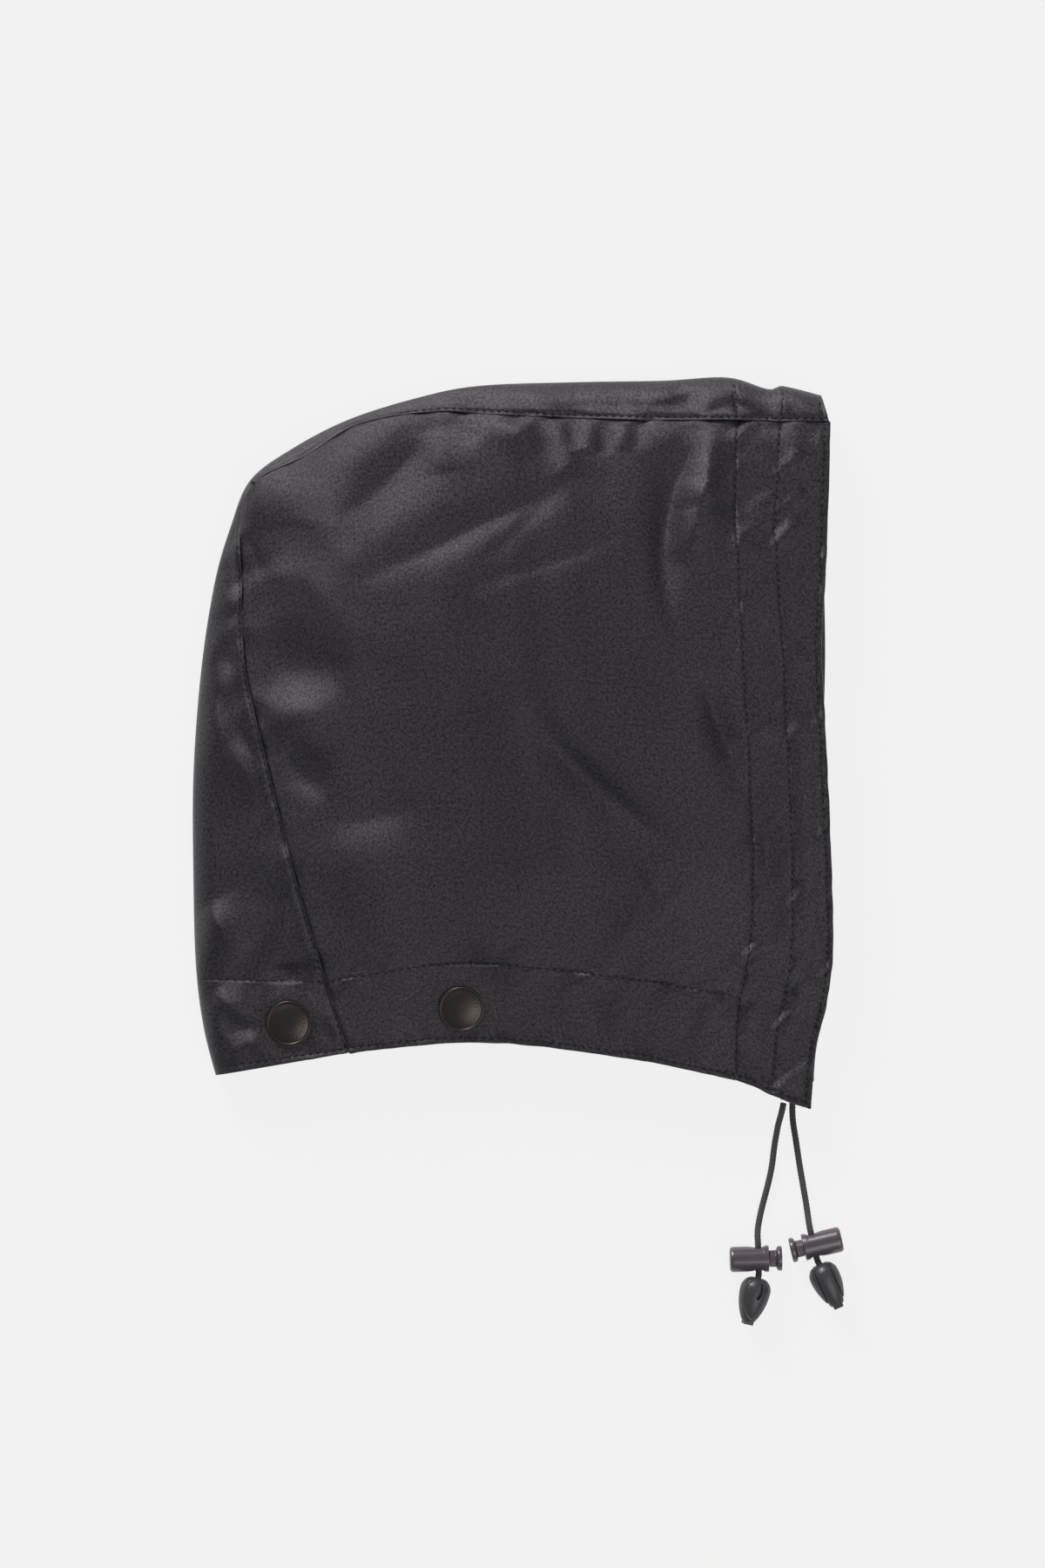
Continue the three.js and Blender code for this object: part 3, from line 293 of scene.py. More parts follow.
class HoodShape(bpy.types.PropertyGroup):
    """Sizes and lie of the cloth."""

    depth: metres("Depth", "From the back fold to the face opening", 0.245)
    height: metres("Height", "From the neck to the crown", 0.281)
    cloth: metres("Cloth thickness", "Thickness of the waxed cloth", 0.0012)
    facing: metres("Facing thickness", "Thickness of the facings", 0.0010)
    layer_gap: metres("Layer gap", "Gap between the cloth and its facings", 0.00045)
    fold_half: metres("Fold half height", "Half the height of the rounded fold", 0.006)
    mouth_fold_half: metres("Face fold half height", "Half the fold's height at the face edge", 0.0086)
    fold_run: metres("Fold run", "Depth of the rounded fold seen from above", 0.009)
    loft: metres("Loft", "How far the upper side stands up", 0.017)
    loft_spread: metres("Loft spread", "Distance over which the loft rises from the fold", 0.045)
    mouth_rise: metres("Face rise", "Loft that is left at the face edge", 0.0025)
    mouth_spread: metres("Face spread", "Distance over which the loft fades to the face edge", 0.070)
    neck_rise: metres("Neck rise", "Loft that is left at the neck edge", 0.0055)
    neck_spread: metres("Neck spread", "Distance over which the loft fades to the neck edge", 0.075)
    relief: metres("Relief", "Height of a fold of rise 1", 0.0034)
    crease: metres("Crease", "Height of a crease of rise 1", 0.0021)
    stud_flat: metres("Stud ground", "Radius of the flat ground around a stud", 0.014)
    stud_fade: metres("Stud fade", "Width over which that ground fades", 0.014)
    stud_press: metres("Stud press", "Radius that a cap presses smooth", 0.0098)
    stud_press_fade: metres("Stud press fade", "Width over which that fades", 0.005)
    stud_lift: metres("Stud lift", "How far a cap lifts the lower side off the ground", 0.0025)
    channel: metres("Channel width", "Width of the drawcord's channel", 0.0044)
    channel_depth: metres("Channel depth", "Depth of the channel's floor under the cloth's face", 0.0046)


class HoodSewing(bpy.types.PropertyGroup):
    """Stitching and seams."""

    pitch: metres("Stitch pitch", "From one stitch to the next", 0.00293)
    stitch: metres("Stitch length", "Length of one stitch", 0.0018)
    thread: metres("Thread", "Diameter of the sewing thread", 0.00046)
    edge_inset: metres("Edge stitch inset", "From the face edge to its stitches", 0.0023)
    hem_inset: metres("Hem stitch inset", "From the neck edge to its stitches", 0.0022)
    seam_inset: metres("Seam stitch inset", "From the seam to its top stitches", 0.0014)
    groove: metres("Groove depth", "How deep a line of stitches pulls the cloth in", 0.0003)
    groove_width: metres("Groove width", "Width of that groove", 0.0006)
    pucker: metres("Pucker height", "Height of the puckers along a line of stitches", 0.0013)
    pucker_spread: metres("Pucker spread", "How far the puckers reach from the line", 0.0055)
    pucker_cell: metres("Pucker cell", "Distance between puckers", 0.0068)
    tuck: metres("Tuck", "How far a side panel runs on under the centre panel", 0.0013)
    tuck_depth: metres("Tuck depth", "How deep that edge sinks", 0.0006)
    welt: metres("Welt height", "How far the seam allowance lifts the cloth above it", 0.0003)
    welt_width: metres("Welt width", "Width of the seam allowance", 0.0045)


class HoodTrims(bpy.types.PropertyGroup):
    """Studs, cord, cord locks and cord ends."""

    cap: metres("Cap diameter", "Diameter of a stud's cap", 0.0173)
    cap_edge: metres("Cap edge height", "Height of the cap's rim over the cloth", 0.0015)
    cap_height: metres("Cap height", "Height of the cap's dome over the cloth", 0.0024)
    post: metres("Post diameter", "Diameter of the stud's post", 0.0044)
    socket: metres("Socket diameter", "Outer diameter of a stud's socket", 0.0126)
    socket_bore: metres("Socket bore", "Bore of a stud's socket", 0.0052)
    socket_height: metres("Socket height", "Height of a stud's socket", 0.0022)
    cord: metres("Cord diameter", "Diameter of the drawcord", 0.0025)
    barrel_length: metres("Barrel length", "Length of a cord lock's barrel", 0.015)
    barrel: metres("Barrel diameter", "Diameter of a cord lock's barrel", 0.0097)
    hole_setback: metres("Cord hole setback", "From the barrel's open end to its cord hole", 0.004)
    hole: metres("Cord hole", "Diameter of the cord hole", 0.0036)
    stem: metres("Stem diameter", "Diameter of the plunger's stem", 0.0065)
    neck: metres("Plunger neck", "Length of the stem that shows", 0.0028)
    flange: metres("Flange diameter", "Diameter of the plunger's head", 0.0093)
    flange_length: metres("Flange length", "Thickness of the plunger's head", 0.0022)
    travel: metres("Travel", "How far the plunger presses in", 0.0024)
    egg_length: metres("Cord end length", "Length of a cord end", 0.0182)
    egg: metres("Cord end diameter", "Diameter of a cord end", 0.0118)
    core: metres("Core width", "Width of a cord end's middle band", 0.006)
    parting: metres("Parting", "Width of the lines between core and cheeks", 0.00035)
    voxel: metres("Mould fineness", "Grid on which moulded pieces are rounded off", 0.00016)


class HoodFinish(bpy.types.PropertyGroup):
    """Colours and gloss."""

    cloth: colour("Cloth", "Waxed cotton", (0.0050, 0.0044, 0.0054))
    cloth_rubbed: colour("Rubbed cloth", "Waxed cotton on a ridge", (0.0088, 0.0079, 0.0094))
    facing: colour("Facing", "Facing and inner face", (0.0150, 0.0140, 0.0150))
    thread: colour("Thread", "Sewing thread", (0.0040, 0.0038, 0.0042))
    stud: colour("Stud", "Gunmetal", (0.056, 0.046, 0.040))
    cord: colour("Cord", "Drawcord", (0.0540, 0.0530, 0.0570))
    lock: colour("Cord lock", "Satin plastic", (0.076, 0.058, 0.072))
    egg: colour("Cord end", "Polished plastic", (0.052, 0.050, 0.057))
    floor: colour("Floor", "Floor under the hood", (0.05, 0.05, 0.05))
    cloth_roughness: portion("Cloth roughness", "Gloss of the waxed cloth, 1 is dull", 0.36)
    yarn: metres("Yarn pitch", "From one yarn of the cloth to the next", 0.00042)


# Curves and surfaces as whole arrays.


def through_rows(rows, places):
    """Points on a smooth curve through the rows, at places counted in rows. Between two rows it is a cubic
    whose slope at each row is half the step from the row before to the row after."""
    last = len(rows) - 1
    places = np.asarray(places, float)
    row = np.clip(np.floor(places).astype(int), 0, last - 1)
    f = (places - row)[..., None]
    before, here, after, beyond = (rows[np.clip(row + k, 0, last)] for k in (-1, 0, 1, 2))
    slope_here = (after - before) / 2
    slope_next = (beyond - here) / 2
    rise = after - here
    square = 3 * rise - 2 * slope_here - slope_next
    cube = slope_here + slope_next - 2 * rise
    return here + f * (slope_here + f * (square + f * cube))


def lengths_along(points, axis=0):
    """Distance from the first point to each point of a line, or of each line of a grid along an axis."""
    steps = np.linalg.norm(np.diff(points, axis=axis), axis=-1)
    return np.insert(np.cumsum(steps, axis=axis), 0, 0, axis=axis)


def even_pace(rows, start, end):
    """A function from shares, 0 to 1, to places on a curve through rows, run at an even pace."""
    places = np.linspace(start, end, FINE + 1)
    lengths = lengths_along(through_rows(rows, places))
    return lambda share: np.interp(np.clip(share, 0, 1) * lengths[-1], lengths, places)


def smooth(share):
    """0 below 0, 1 above 1, and 3 s^2 - 2 s^3 between."""
    s = np.clip(share, 0, 1)
    return s * s * (3 - 2 * s)


def nearest_on_line(line, points):
    """Distance from each point to the nearest segment of a line of points, and the share along the line."""
    best = np.full(points.shape[:-1], np.inf)
    share = np.zeros(points.shape[:-1])
    for i in range(len(line) - 1):
        run = line[i + 1] - line[i]
        f = np.clip(((points - line[i]) @ run) / (run @ run), 0, 1)
        distance = np.linalg.norm(points - line[i] - f[..., None] * run, axis=-1)
        nearer = distance < best
        best = np.where(nearer, distance, best)
        share = np.where(nearer, (i + f) / (len(line) - 1), share)
    return best, share


def noise(x, y, seed):
    """Smooth noise of about -1 to 1: random values at whole numbers, with 3 s^2 - 2 s^3 between them."""
    size = 64
    table = np.random.default_rng(seed).uniform(-1, 1, (size, size))
    i, j = np.floor(x).astype(int), np.floor(y).astype(int)
    s, t = smooth(x - i), smooth(y - j)
    low = table[i % size, j % size] * (1 - s) + table[(i + 1) % size, j % size] * s
    high = table[i % size, (j + 1) % size] * (1 - s) + table[(i + 1) % size, (j + 1) % size] * s
    return low * (1 - t) + high * t


def ridge_shape(distance, width, sharpness):
    """Height across a crease: exp of minus the distance over the width, with a bend as round as sharpness."""
    return np.exp(-(np.sqrt(distance ** 2 + sharpness ** 2) - sharpness) / width)


def fade_ends(share):
    """0 at a line's two ends and 1 at its middle: a half sine."""
    return np.maximum(0, np.sin(np.pi * share))


def facing_line(name, down):
    """A stitch line of the face facing, as a share of the side panel's width."""
    return np.interp(down, FACING["down"], FACING[name])


class HoodPlan:
    """The hood seen from above, as curves through its rows, with the heights of its two sides."""

    def __init__(self, shape, sewing):
        size = np.array((shape.depth, shape.height))
        self.shape = shape
        self.sewing = sewing
        self.seams = {name: np.array(rows) * size for name, rows in CENTRE.items()}
        self.nape_row = len(CENTRE["fold"]) - 1
        self.top_pace = even_pace(self.seams["near"], 0, CROWN_ROW)
        self.back_pace = even_pace(self.seams["near"], CROWN_ROW, self.nape_row)
        self.fold_line = through_rows(self.seams["fold"], np.linspace(0, self.nape_row, FINE + 1))
        self.faces = {s: np.vstack([self.seams[s][:1], np.array(FACE[s]) * size]) for s in FACE}
        self.necks = {s: np.vstack([np.array(NECK[s]) * size, self.seams[s][-1:]]) for s in NECK}
        self.face_pace = {s: even_pace(rows, 0, len(rows) - 1) for s, rows in self.faces.items()}
        self.neck_pace = {s: even_pace(rows, 0, len(rows) - 1) for s, rows in self.necks.items()}
        self.top_length = lengths_along(self.edge("near", "crown", np.linspace(0, 1, FINE)))[-1]
        self.back_length = lengths_along(self.edge("near", "back", np.linspace(0, 1, FINE)))[-1]
        self.facing_depth = shape.cloth + shape.layer_gap * 0.3
        self.spots = {name: np.array(place) * size for name, place in STUDS.items()}
        self.planes = {name: self.plane_at(spot) for name, spot in self.spots.items()}

    def edge(self, side, name, share):
        """A point on one of a side panel's edges."""
        seam = self.seams[side]
        if name == "crown":
            return through_rows(seam, self.top_pace(share))
        if name == "back":
            return through_rows(seam, self.back_pace(share))
        if name == "face":
            return through_rows(self.faces[side], self.face_pace[side](share))
        return through_rows(self.necks[side], self.neck_pace[side](share))

    def panel(self, side, across, down):
        """A plan point between four edges: both blends of opposite edges, less the blend of the corners."""
        a, d = across[..., None], down[..., None]
        first = self.seams[side][0]
        crown_end = self.seams[side][CROWN_ROW]
        neck_first, neck_last = self.necks[side][0], self.necks[side][-1]
        between_rows = self.edge(side, "crown", across) * (1 - d) + self.edge(side, "neck", across) * d
        between_columns = self.edge(side, "face", down) * (1 - a) + self.edge(side, "back", down) * a
        corners = (first * (1 - a) * (1 - d) + crown_end * a * (1 - d)
                   + neck_first * (1 - a) * d + neck_last * a * d)
        return between_rows + between_columns - corners

    def width(self, side, down):
        """Width of a side panel, from the face edge to the back seam."""
        return np.linalg.norm(self.edge(side, "face", down) - self.edge(side, "back", down), axis=-1)

    def drop(self, side, across):
        """Length of a side panel, from the crown seam to the neck."""
        return np.linalg.norm(self.edge(side, "crown", across) - self.edge(side, "neck", across), axis=-1)

    def stud_ground(self, plan):
        """1 on a stud's flat ground, fading to 0 around it."""
        most = np.zeros(plan.shape[:-1])
        for spot in self.spots.values():
            away = np.linalg.norm(plan - spot, axis=-1)
            most = np.maximum(most, 1 - smooth((away - self.shape.stud_flat) / self.shape.stud_fade))
        return most

    def under_caps(self, plan):
        """1 where a stud's cap presses the cloth smooth, fading to 0 just outside it."""
        away = np.min([np.linalg.norm(plan - spot, axis=-1) for spot in self.spots.values()], axis=0)
        return 1 - smooth((away - self.shape.stud_press) / self.shape.stud_press_fade)

    def in_from_mouth(self, plan):
        """0 at the face edge and 1 well inside."""
        return smooth((self.seams["near"][0][0] - plan[..., 0]) / self.shape.mouth_spread)

    def in_from_neck(self, plan):
        """0 at the neck edge and 1 well inside."""
        return smooth((plan[..., 1] - self.necks["near"][-2][1]) / self.shape.neck_spread)

    def main_folds(self, plan):
        """Height of the main folds: across each bend a bell, exp of minus the square of distance over
        width."""
        size = np.array((self.shape.depth, self.shape.height))
        t = np.linspace(0, 1, 11)[:, None]
        height = np.zeros(plan.shape[:-1])
        for start, over, end, width, rise in FOLDS:
            start, over, end = (np.array(p) * size for p in (start, over, end))
            line = start * (1 - t) ** 2 + over * 2 * t * (1 - t) + end * t ** 2
            distance, share = nearest_on_line(line, plan)
            bell = np.exp(-(distance / (width * self.shape.depth)) ** 2)
            height += rise * self.shape.relief * bell * fade_ends(share)
        return height * (1 - self.stud_ground(plan))

    def nose(self, plan):
        """Share of full height round the fold, a quarter ellipse over its run, and the distance in."""
        distance, _ = nearest_on_line(self.fold_line, plan)
        return np.sqrt(1 - (1 - np.minimum(1, distance / self.shape.fold_run)) ** 2), distance

    def bare_height(self, plan, above):
        """Height of the outer face: half the fold, then up to the loft and folds above or down to the ground
        below, both times the nose."""
        shape = self.shape
        nose, distance = self.nose(plan)
        mouth_in, neck_in = self.in_from_mouth(plan), self.in_from_neck(plan)
        half = shape.fold_half + (shape.mouth_fold_half - shape.fold_half) * (1 - mouth_in) * neck_in
        if not above:
            return half - nose * (half - shape.stud_lift * self.stud_ground(plan))
        mouth = shape.mouth_rise + (shape.loft - shape.mouth_rise) * mouth_in
        neck = shape.neck_rise + (shape.loft - shape.neck_rise) * neck_in
        rise = (1 - np.exp(-distance / shape.loft_spread)) * mouth * neck / shape.loft
        return half + nose * (half + rise + self.main_folds(plan))

    def plane_at(self, spot):
        """Height and slopes of the flat ground that a stud presses into the upper side."""
        step = 2 * MM
        around = spot + np.array(((0, 0), (step, 0), (-step, 0), (0, step), (0, -step)))
        middle, right, left, up, down = self.bare_height(around, True)
        return middle, (right - left) / (2 * step), (up - down) / (2 * step)

    def creases(self, plan):
        """Height of the fine creases and the rumple, which fade under the studs' caps."""
        steps, widths, skew = 5, 5, 0.3
        height = np.zeros(plan.shape[:-1])
        for rise, width, sharpness, points in CREASES:
            points = np.array(points) * MM
            line = through_rows(points, np.linspace(0, len(points) - 1, steps * (len(points) - 1) + 1))
            reach = widths * width * MM
            near = np.all((plan > line.min(0) - reach) & (plan < line.max(0) + reach), axis=-1)
            distance, share = nearest_on_line(line, plan[near])
            shape = ridge_shape(distance, width * MM, sharpness * MM)
            height[near] += rise * self.shape.crease * shape * fade_ends(share)
        for seed, (rise, cell) in enumerate(RUMPLE):
            x, y = plan[..., 0] / (cell * MM), plan[..., 1] / (cell * MM)
            height += rise * MM * noise(x + skew * y, y - skew * x, seed)
        return height * (1 - self.under_caps(plan))

    def height(self, plan, above):
        """Height of the outer face with its creases, flattened under the studs."""
        height = self.bare_height(plan, above)
        if not above:
            return height
        for name, (middle, slope_x, slope_y) in self.planes.items():
            away = plan - self.spots[name]
            flat = 1 - smooth((np.linalg.norm(away, axis=-1) - self.shape.stud_flat) / self.shape.stud_fade)
            plane = middle + slope_x * away[..., 0] + slope_y * away[..., 1]
            height = height + flat * (plane - height)
        return height + self.nose(plan)[0] * self.creases(plan)

    def sewn(self, distance, along, line):
        """What a line of stitches does to the cloth: a narrow groove, and slanting puckers that fade away
        from it."""
        sewing = self.sewing
        groove = -sewing.groove * np.exp(-(distance / sewing.groove_width) ** 2)
        cell, slant, stretch = sewing.pucker_cell, 0.9, 3
        puckers = noise((along - slant * distance) / cell, (distance + slant * along) / (stretch * cell),
                        PUCKERS[line])
        return groove + sewing.pucker * puckers * np.exp(-np.abs(distance) / sewing.pucker_spread)

    def panel_sewing(self, side, across, down):
        """Relief of a side panel's stitch lines, seams and drawcord."""
        sewing = self.sewing
        seam_share, sink_share, behind_fade = 0.7, 0.6, 2 * MM
        width, drop = self.width(side, down), self.drop(side, across)
        inner, tunnel = facing_line("inner", down), facing_line("tunnel", down)
        behind = smooth((across - inner) * width / behind_fade)
        x, y = across * width, down * drop
        relief = self.sewn((across - inner) * width, y, "inner")
        relief += self.sewn((across - tunnel) * width, y, "tunnel")
        relief += self.sewn(x - sewing.edge_inset, y, "edge")
        relief += self.sewn((down - NECK_LINE) * drop, x, "neck") * behind
        relief += self.sewn((1 - down) * drop - sewing.hem_inset, x, "hem")
        from_cord = (across - tunnel * CHANNEL[side]) * width
        relief += CHANNEL_RISE * np.exp(-(from_cord / CHANNEL_SPREAD) ** 2)
        for gap in (y, (1 - across) * width):
            relief -= sink_share * sewing.welt * np.exp(-(gap / sewing.groove_width) ** 2)
        relief += self.sewn(y + sewing.seam_inset, x, "seam") * seam_share
        relief += self.sewn((1 - across) * width + sewing.seam_inset, y, "back seam") * seam_share
        return relief

    def panel_surface(self, side, across, down, sewn=True):
        """The outer face of a side panel at (across, down): its plan point at its height, with the sewing.
        The lower side has half of what pulls it in, and none of what lifts it."""
        plan = self.panel(side, across, down)
        above = side == "near"
        z = self.height(plan, above)
        if sewn and above:
            z = z + self.panel_sewing(side, across, down) * (1 - self.under_caps(plan))
        if sewn and not above:
            groove_only = np.minimum(0, self.panel_sewing(side, across, down))
            z = z - 0.5 * groove_only
        return np.concatenate([plan, z[..., None]], axis=-1)

    def centre_place(self, run):
        """Rows place for run: 0 to 1 from the face edge to the crown's bend, 1 to 2 on to the nape."""
        return np.where(run < 1, self.top_pace(run), self.back_pace(run - 1))

    def seam_distance(self, run, side):
        """From the fold to a seam of the centre panel, seen from above."""
        place = self.centre_place(run)
        fold = through_rows(self.seams["fold"], place)
        return np.linalg.norm(through_rows(self.seams[side], place) - fold, axis=-1)

    def turn_at(self, distance):
        """Turn round the fold at a distance from it: 1 at the rounded fold's top, then at the same pace."""
        ratio = distance / self.shape.fold_run
        bent = np.arccos(1 - np.minimum(1, ratio)) * 2 / np.pi
        return np.where(ratio < 1, bent, 1 + (ratio - 1) * 2 / np.pi)

    def distance_at(self, turn):
        """Distance from the fold at a turn, the inverse of turn_at."""
        bent = 1 - np.cos(np.minimum(1, turn) * np.pi / 2)
        return self.shape.fold_run * np.where(turn < 1, bent, 1 + (turn - 1) * np.pi / 2)

    def fold_and_seam(self, run, above):
        """The fold's point, and the upper seam's point where above or else the lower seam's."""
        place = self.centre_place(run)
        seam = np.where(above[..., None], through_rows(self.seams["near"], place),
                        through_rows(self.seams["far"], place))
        return through_rows(self.seams["fold"], place), seam

    def centre_surface(self, run, turn, sewn=True):
        """The outer face of the centre panel: from the fold towards a seam by the turn's distance, at its
        height. Positive turns are on the upper side."""
        above = turn >= 0
        fold, seam = self.fold_and_seam(run, above)
        reach = np.linalg.norm(seam - fold, axis=-1)
        distance = self.distance_at(np.abs(turn))
        plan = fold + (seam - fold) / reach[..., None] * distance[..., None]
        z = np.where(above, self.height(plan, True), self.height(plan, False))
        if sewn:
            relief = self.centre_sewing(run, reach - distance) * (1 - self.under_caps(plan))
            nose, _ = self.nose(plan)
            z = np.where(above, z + nose * relief, z - 0.5 * nose * np.minimum(0, relief))
        return np.concatenate([plan, z[..., None]], axis=-1)

    def fold_normals(self, run, turn, points):
        """Normals of the centre panel. Round the fold they turn from level to upright by a quarter per turn
        of 1, and farther in they are the grid's own."""
        fold, seam = self.fold_and_seam(run, turn >= 0)
        out = unit(fold - seam)
        angle = np.clip(turn, -1, 1)[..., None] * np.pi / 2
        level = np.concatenate([out * np.cos(angle), np.sin(angle)], axis=-1)
        fade_start, fade_run = 0.3, 0.4
        share = 1 - smooth((np.abs(turn)[..., None] - fade_start) / fade_run)
        return unit(level * share + grid_normals(points) * (1 - share))

    def centre_sewing(self, run, from_seam):
        """Relief of the centre panel: its welt and top stitches along the seam, and the lines across it."""
        sewing = self.sewing
        top, back = self.top_length, self.back_length
        welt_start, welt_fade = 0.6 * sewing.welt_width, 0.8 * sewing.welt_width
        along = np.where(run < 1, run * top, top + (run - 1) * back)
        relief = sewing.welt * (1 - smooth((from_seam - welt_start) / welt_fade))
        relief += self.sewn(from_seam - sewing.seam_inset, along, "seam")
        relief += self.sewn(along - FACING["inner"][0] * top, from_seam, "over inner")
        relief += self.sewn(along - FACING["tunnel"][0] * top, from_seam, "over tunnel")
        relief += self.sewn(along - sewing.edge_inset, from_seam, "over edge")
        relief += self.sewn(along - top - NECK_LINE * back, from_seam, "over neck")
        relief += self.sewn(top + back - along - sewing.hem_inset, from_seam, "over hem")
        return relief


def plan_of(context):
    """The hood's plan from the scene's settings."""
    return HoodPlan(context.scene.hood_shape, context.scene.hood_sewing)


def grid_lines(counts, pinch):
    """For each grid line, the stretch it is in and its share of it, closer near a stretch's two ends:
    share = t - pinch sin(2 pi t) / (2 pi)."""
    stretches, shares = [], []
    for stretch, count in enumerate(counts):
        last = stretch == len(counts) - 1
        t = np.arange(count + last) / count
        stretches.append(np.full(len(t), stretch))
        shares.append(t - pinch * np.sin(2 * np.pi * t) / (2 * np.pi))
    return np.concatenate(stretches), np.concatenate(shares)


def between(breaks, stretches, shares):
    """Values between breakpoints: the one before, plus the share of the way to the next."""
    shape = np.broadcast_shapes(*(np.shape(b) for b in breaks), stretches.shape)
    stack = np.array([np.broadcast_to(b, shape) for b in breaks])
    index = np.broadcast_to(stretches, shape)[None]
    low = np.take_along_axis(stack, index, 0)[0]
    high = np.take_along_axis(stack, index + 1, 0)[0]
    return low + shares * (high - low)


def unit(vectors):
    """The vectors at length 1."""
    return vectors / np.maximum(np.linalg.norm(vectors, axis=-1, keepdims=True), 1e-12)


def grid_normals(points):
    """Normals of a grid of points: the cross product of the steps along its rows and its columns."""
    return unit(np.cross(np.gradient(points, axis=1), np.gradient(points, axis=0)))


def grid_quads(rows, columns, wrap=False):
    """Four indices for each cell of a grid, whose last column may join on to its first."""
    i, j = np.meshgrid(np.arange(rows - 1), np.arange(columns - (not wrap)), indexing="ij")
    k = (j + 1) % columns
    return np.stack([i * columns + j, i * columns + k, (i + 1) * columns + k, (i + 1) * columns + j],
                    axis=-1).reshape(-1, 4)


def turned_out(points, quads, *others):
    """The faces, all reversed where the volume inside the closed quads is negative."""
    a, b, c, d = (points[quads[:, k]] for k in range(4))
    volume = np.sum(a * np.cross(b, c)) + np.sum(a * np.cross(c, d))
    step = -1 if volume < 0 else 1
    return [faces[:, ::step] for faces in (quads, *others)]


def make_object(name, points, faces, uv=None, values=None):
    """A smooth-shaded mesh object from arrays, with a UV map and point values where given."""
    mesh = bpy.data.meshes.new(name)
    mesh.from_pydata(points.tolist(), [], faces)
    mesh.polygons.foreach_set("use_smooth", np.ones(len(mesh.polygons), bool))
    if uv is not None:
        corners = np.empty(len(mesh.loops), np.int32)
        mesh.loops.foreach_get("vertex_index", corners)
        layer = mesh.uv_layers.new(name="UVMap")
        layer.data.foreach_set("uv", uv[corners].astype(np.float32).ravel())
    for key, value in (values or {}).items():
        attribute = mesh.attributes.new(key, "FLOAT", "POINT")
        attribute.data.foreach_set("value", value.astype(np.float32))
    mesh.update()
    piece = bpy.data.objects.new(name, mesh)
    bpy.context.scene.collection.objects.link(piece)
    return piece


def wall(name, points, depth, thickness, outward, rub_and_braid_shade=None):
    """A closed wall under a grid of surface points, with its free edges rounded as half circles. The outer
    face lies depth under the points along their normals, and the inner face the thickness under that. Outward
    is the sign of the grid's normals or the normals themselves. Round the rim, a point is
    middle + half (sin turn normal + cos turn outwards)."""
    rim_steps = 3
    rows, columns = points.shape[:2]
    normals = outward if np.ndim(outward) else grid_normals(points) * outward
    outer = points - normals * np.broadcast_to(depth, (rows, columns))[..., None]
    inner = outer - normals * np.broadcast_to(thickness, (rows, columns))[..., None]
    index = np.arange(rows * columns).reshape(rows, columns)
    loop = np.concatenate([index[0, :-1], index[:-1, -1], index[-1, :0:-1], index[:0:-1, 0]])
    outer, inner = outer.reshape(-1, 3), inner.reshape(-1, 3)
    top, bottom = outer[loop], inner[loop]
    middle, half = (top + bottom) / 2, np.linalg.norm(top - bottom, axis=1)[:, None] / 2
    normal = unit(top - bottom)
    aside = unit(np.cross(np.roll(middle, -1, axis=0) - np.roll(middle, 1, axis=0), normal))
    inward = middle.mean(0) - middle
    if np.sum(aside * inward) > 0:
        aside = -aside
    turns = np.linspace(np.pi / 2, -np.pi / 2, rim_steps + 2)[1:-1]
    rings = [middle + half * (np.sin(t) * normal + np.cos(t) * aside) for t in turns]
    count = rows * columns
    vertices = np.concatenate([outer, inner, *rings])
    around = [2 * count + k * len(loop) + np.arange(len(loop)) for k in range(rim_steps)]
    around = [loop, *around, loop + count]
    quads = [grid_quads(rows, columns), grid_quads(rows, columns)[:, ::-1] + count]
    for upper, lower in zip(around, around[1:]):
        quads.append(np.stack([upper, lower, np.roll(lower, -1), np.roll(upper, -1)], axis=1))
    quads = turned_out(vertices, np.concatenate(quads))[0]
    u, v = lengths_along(points, 1), lengths_along(points, 0)
    flat = np.stack([u - u[:, -1:], v], axis=-1).reshape(-1, 2)
    uv = np.concatenate([flat, flat] + [flat[loop]] * rim_steps)
    values = {}
    if rub_and_braid_shade is not None:
        worn = rub_and_braid_shade.reshape(-1)
        values["rub_and_braid_shade"] = np.concatenate([worn, worn] + [worn[loop]] * rim_steps)
    return make_object(name, vertices, quads.tolist(), uv, values)


def tucked(plan, points, above):
    """A grid with its seam allowances added before the first row and after the last column. They run on
    square to the edge, along the cloth's lie, sink under the next panel by the root of their share out, and
    narrow to the mouth and the hem."""
    sewing = plan.sewing
    steps = np.array((0.2, 0.45, 1.0))[:, None]
    least, taper = 0.15, 4 * MM

    def beyond(edge, before, from_free_end):
        """Rows beyond an edge, on the side away from the points before it."""
        shares = steps * (least + (1 - least) * smooth(from_free_end / taper))
        along = unit(np.gradient(edge[:, :2], axis=0))
        out = np.stack([-along[:, 1], along[:, 0]], axis=1)
        out = out * np.sign(np.sum(out * (edge - before)[:, :2], axis=1))[:, None]
        on = edge[:, :2] + out * sewing.tuck * shares[..., None]
        sink = sewing.tuck_depth * np.sqrt(shares) * (1 if above else -1)
        z = edge[:, 2] + plan.height(on, above) - plan.height(edge[:, :2], above) - sink
        return np.concatenate([on, z[..., None]], axis=-1)

    points = np.concatenate([beyond(points[0], points[3], lengths_along(points[0]))[::-1], points])
    length = lengths_along(points[:, -1])
    aside = beyond(points[:, -1], points[:, -4], length[-1] - length)
    return np.concatenate([points, aside.transpose(1, 0, 2)], axis=1)


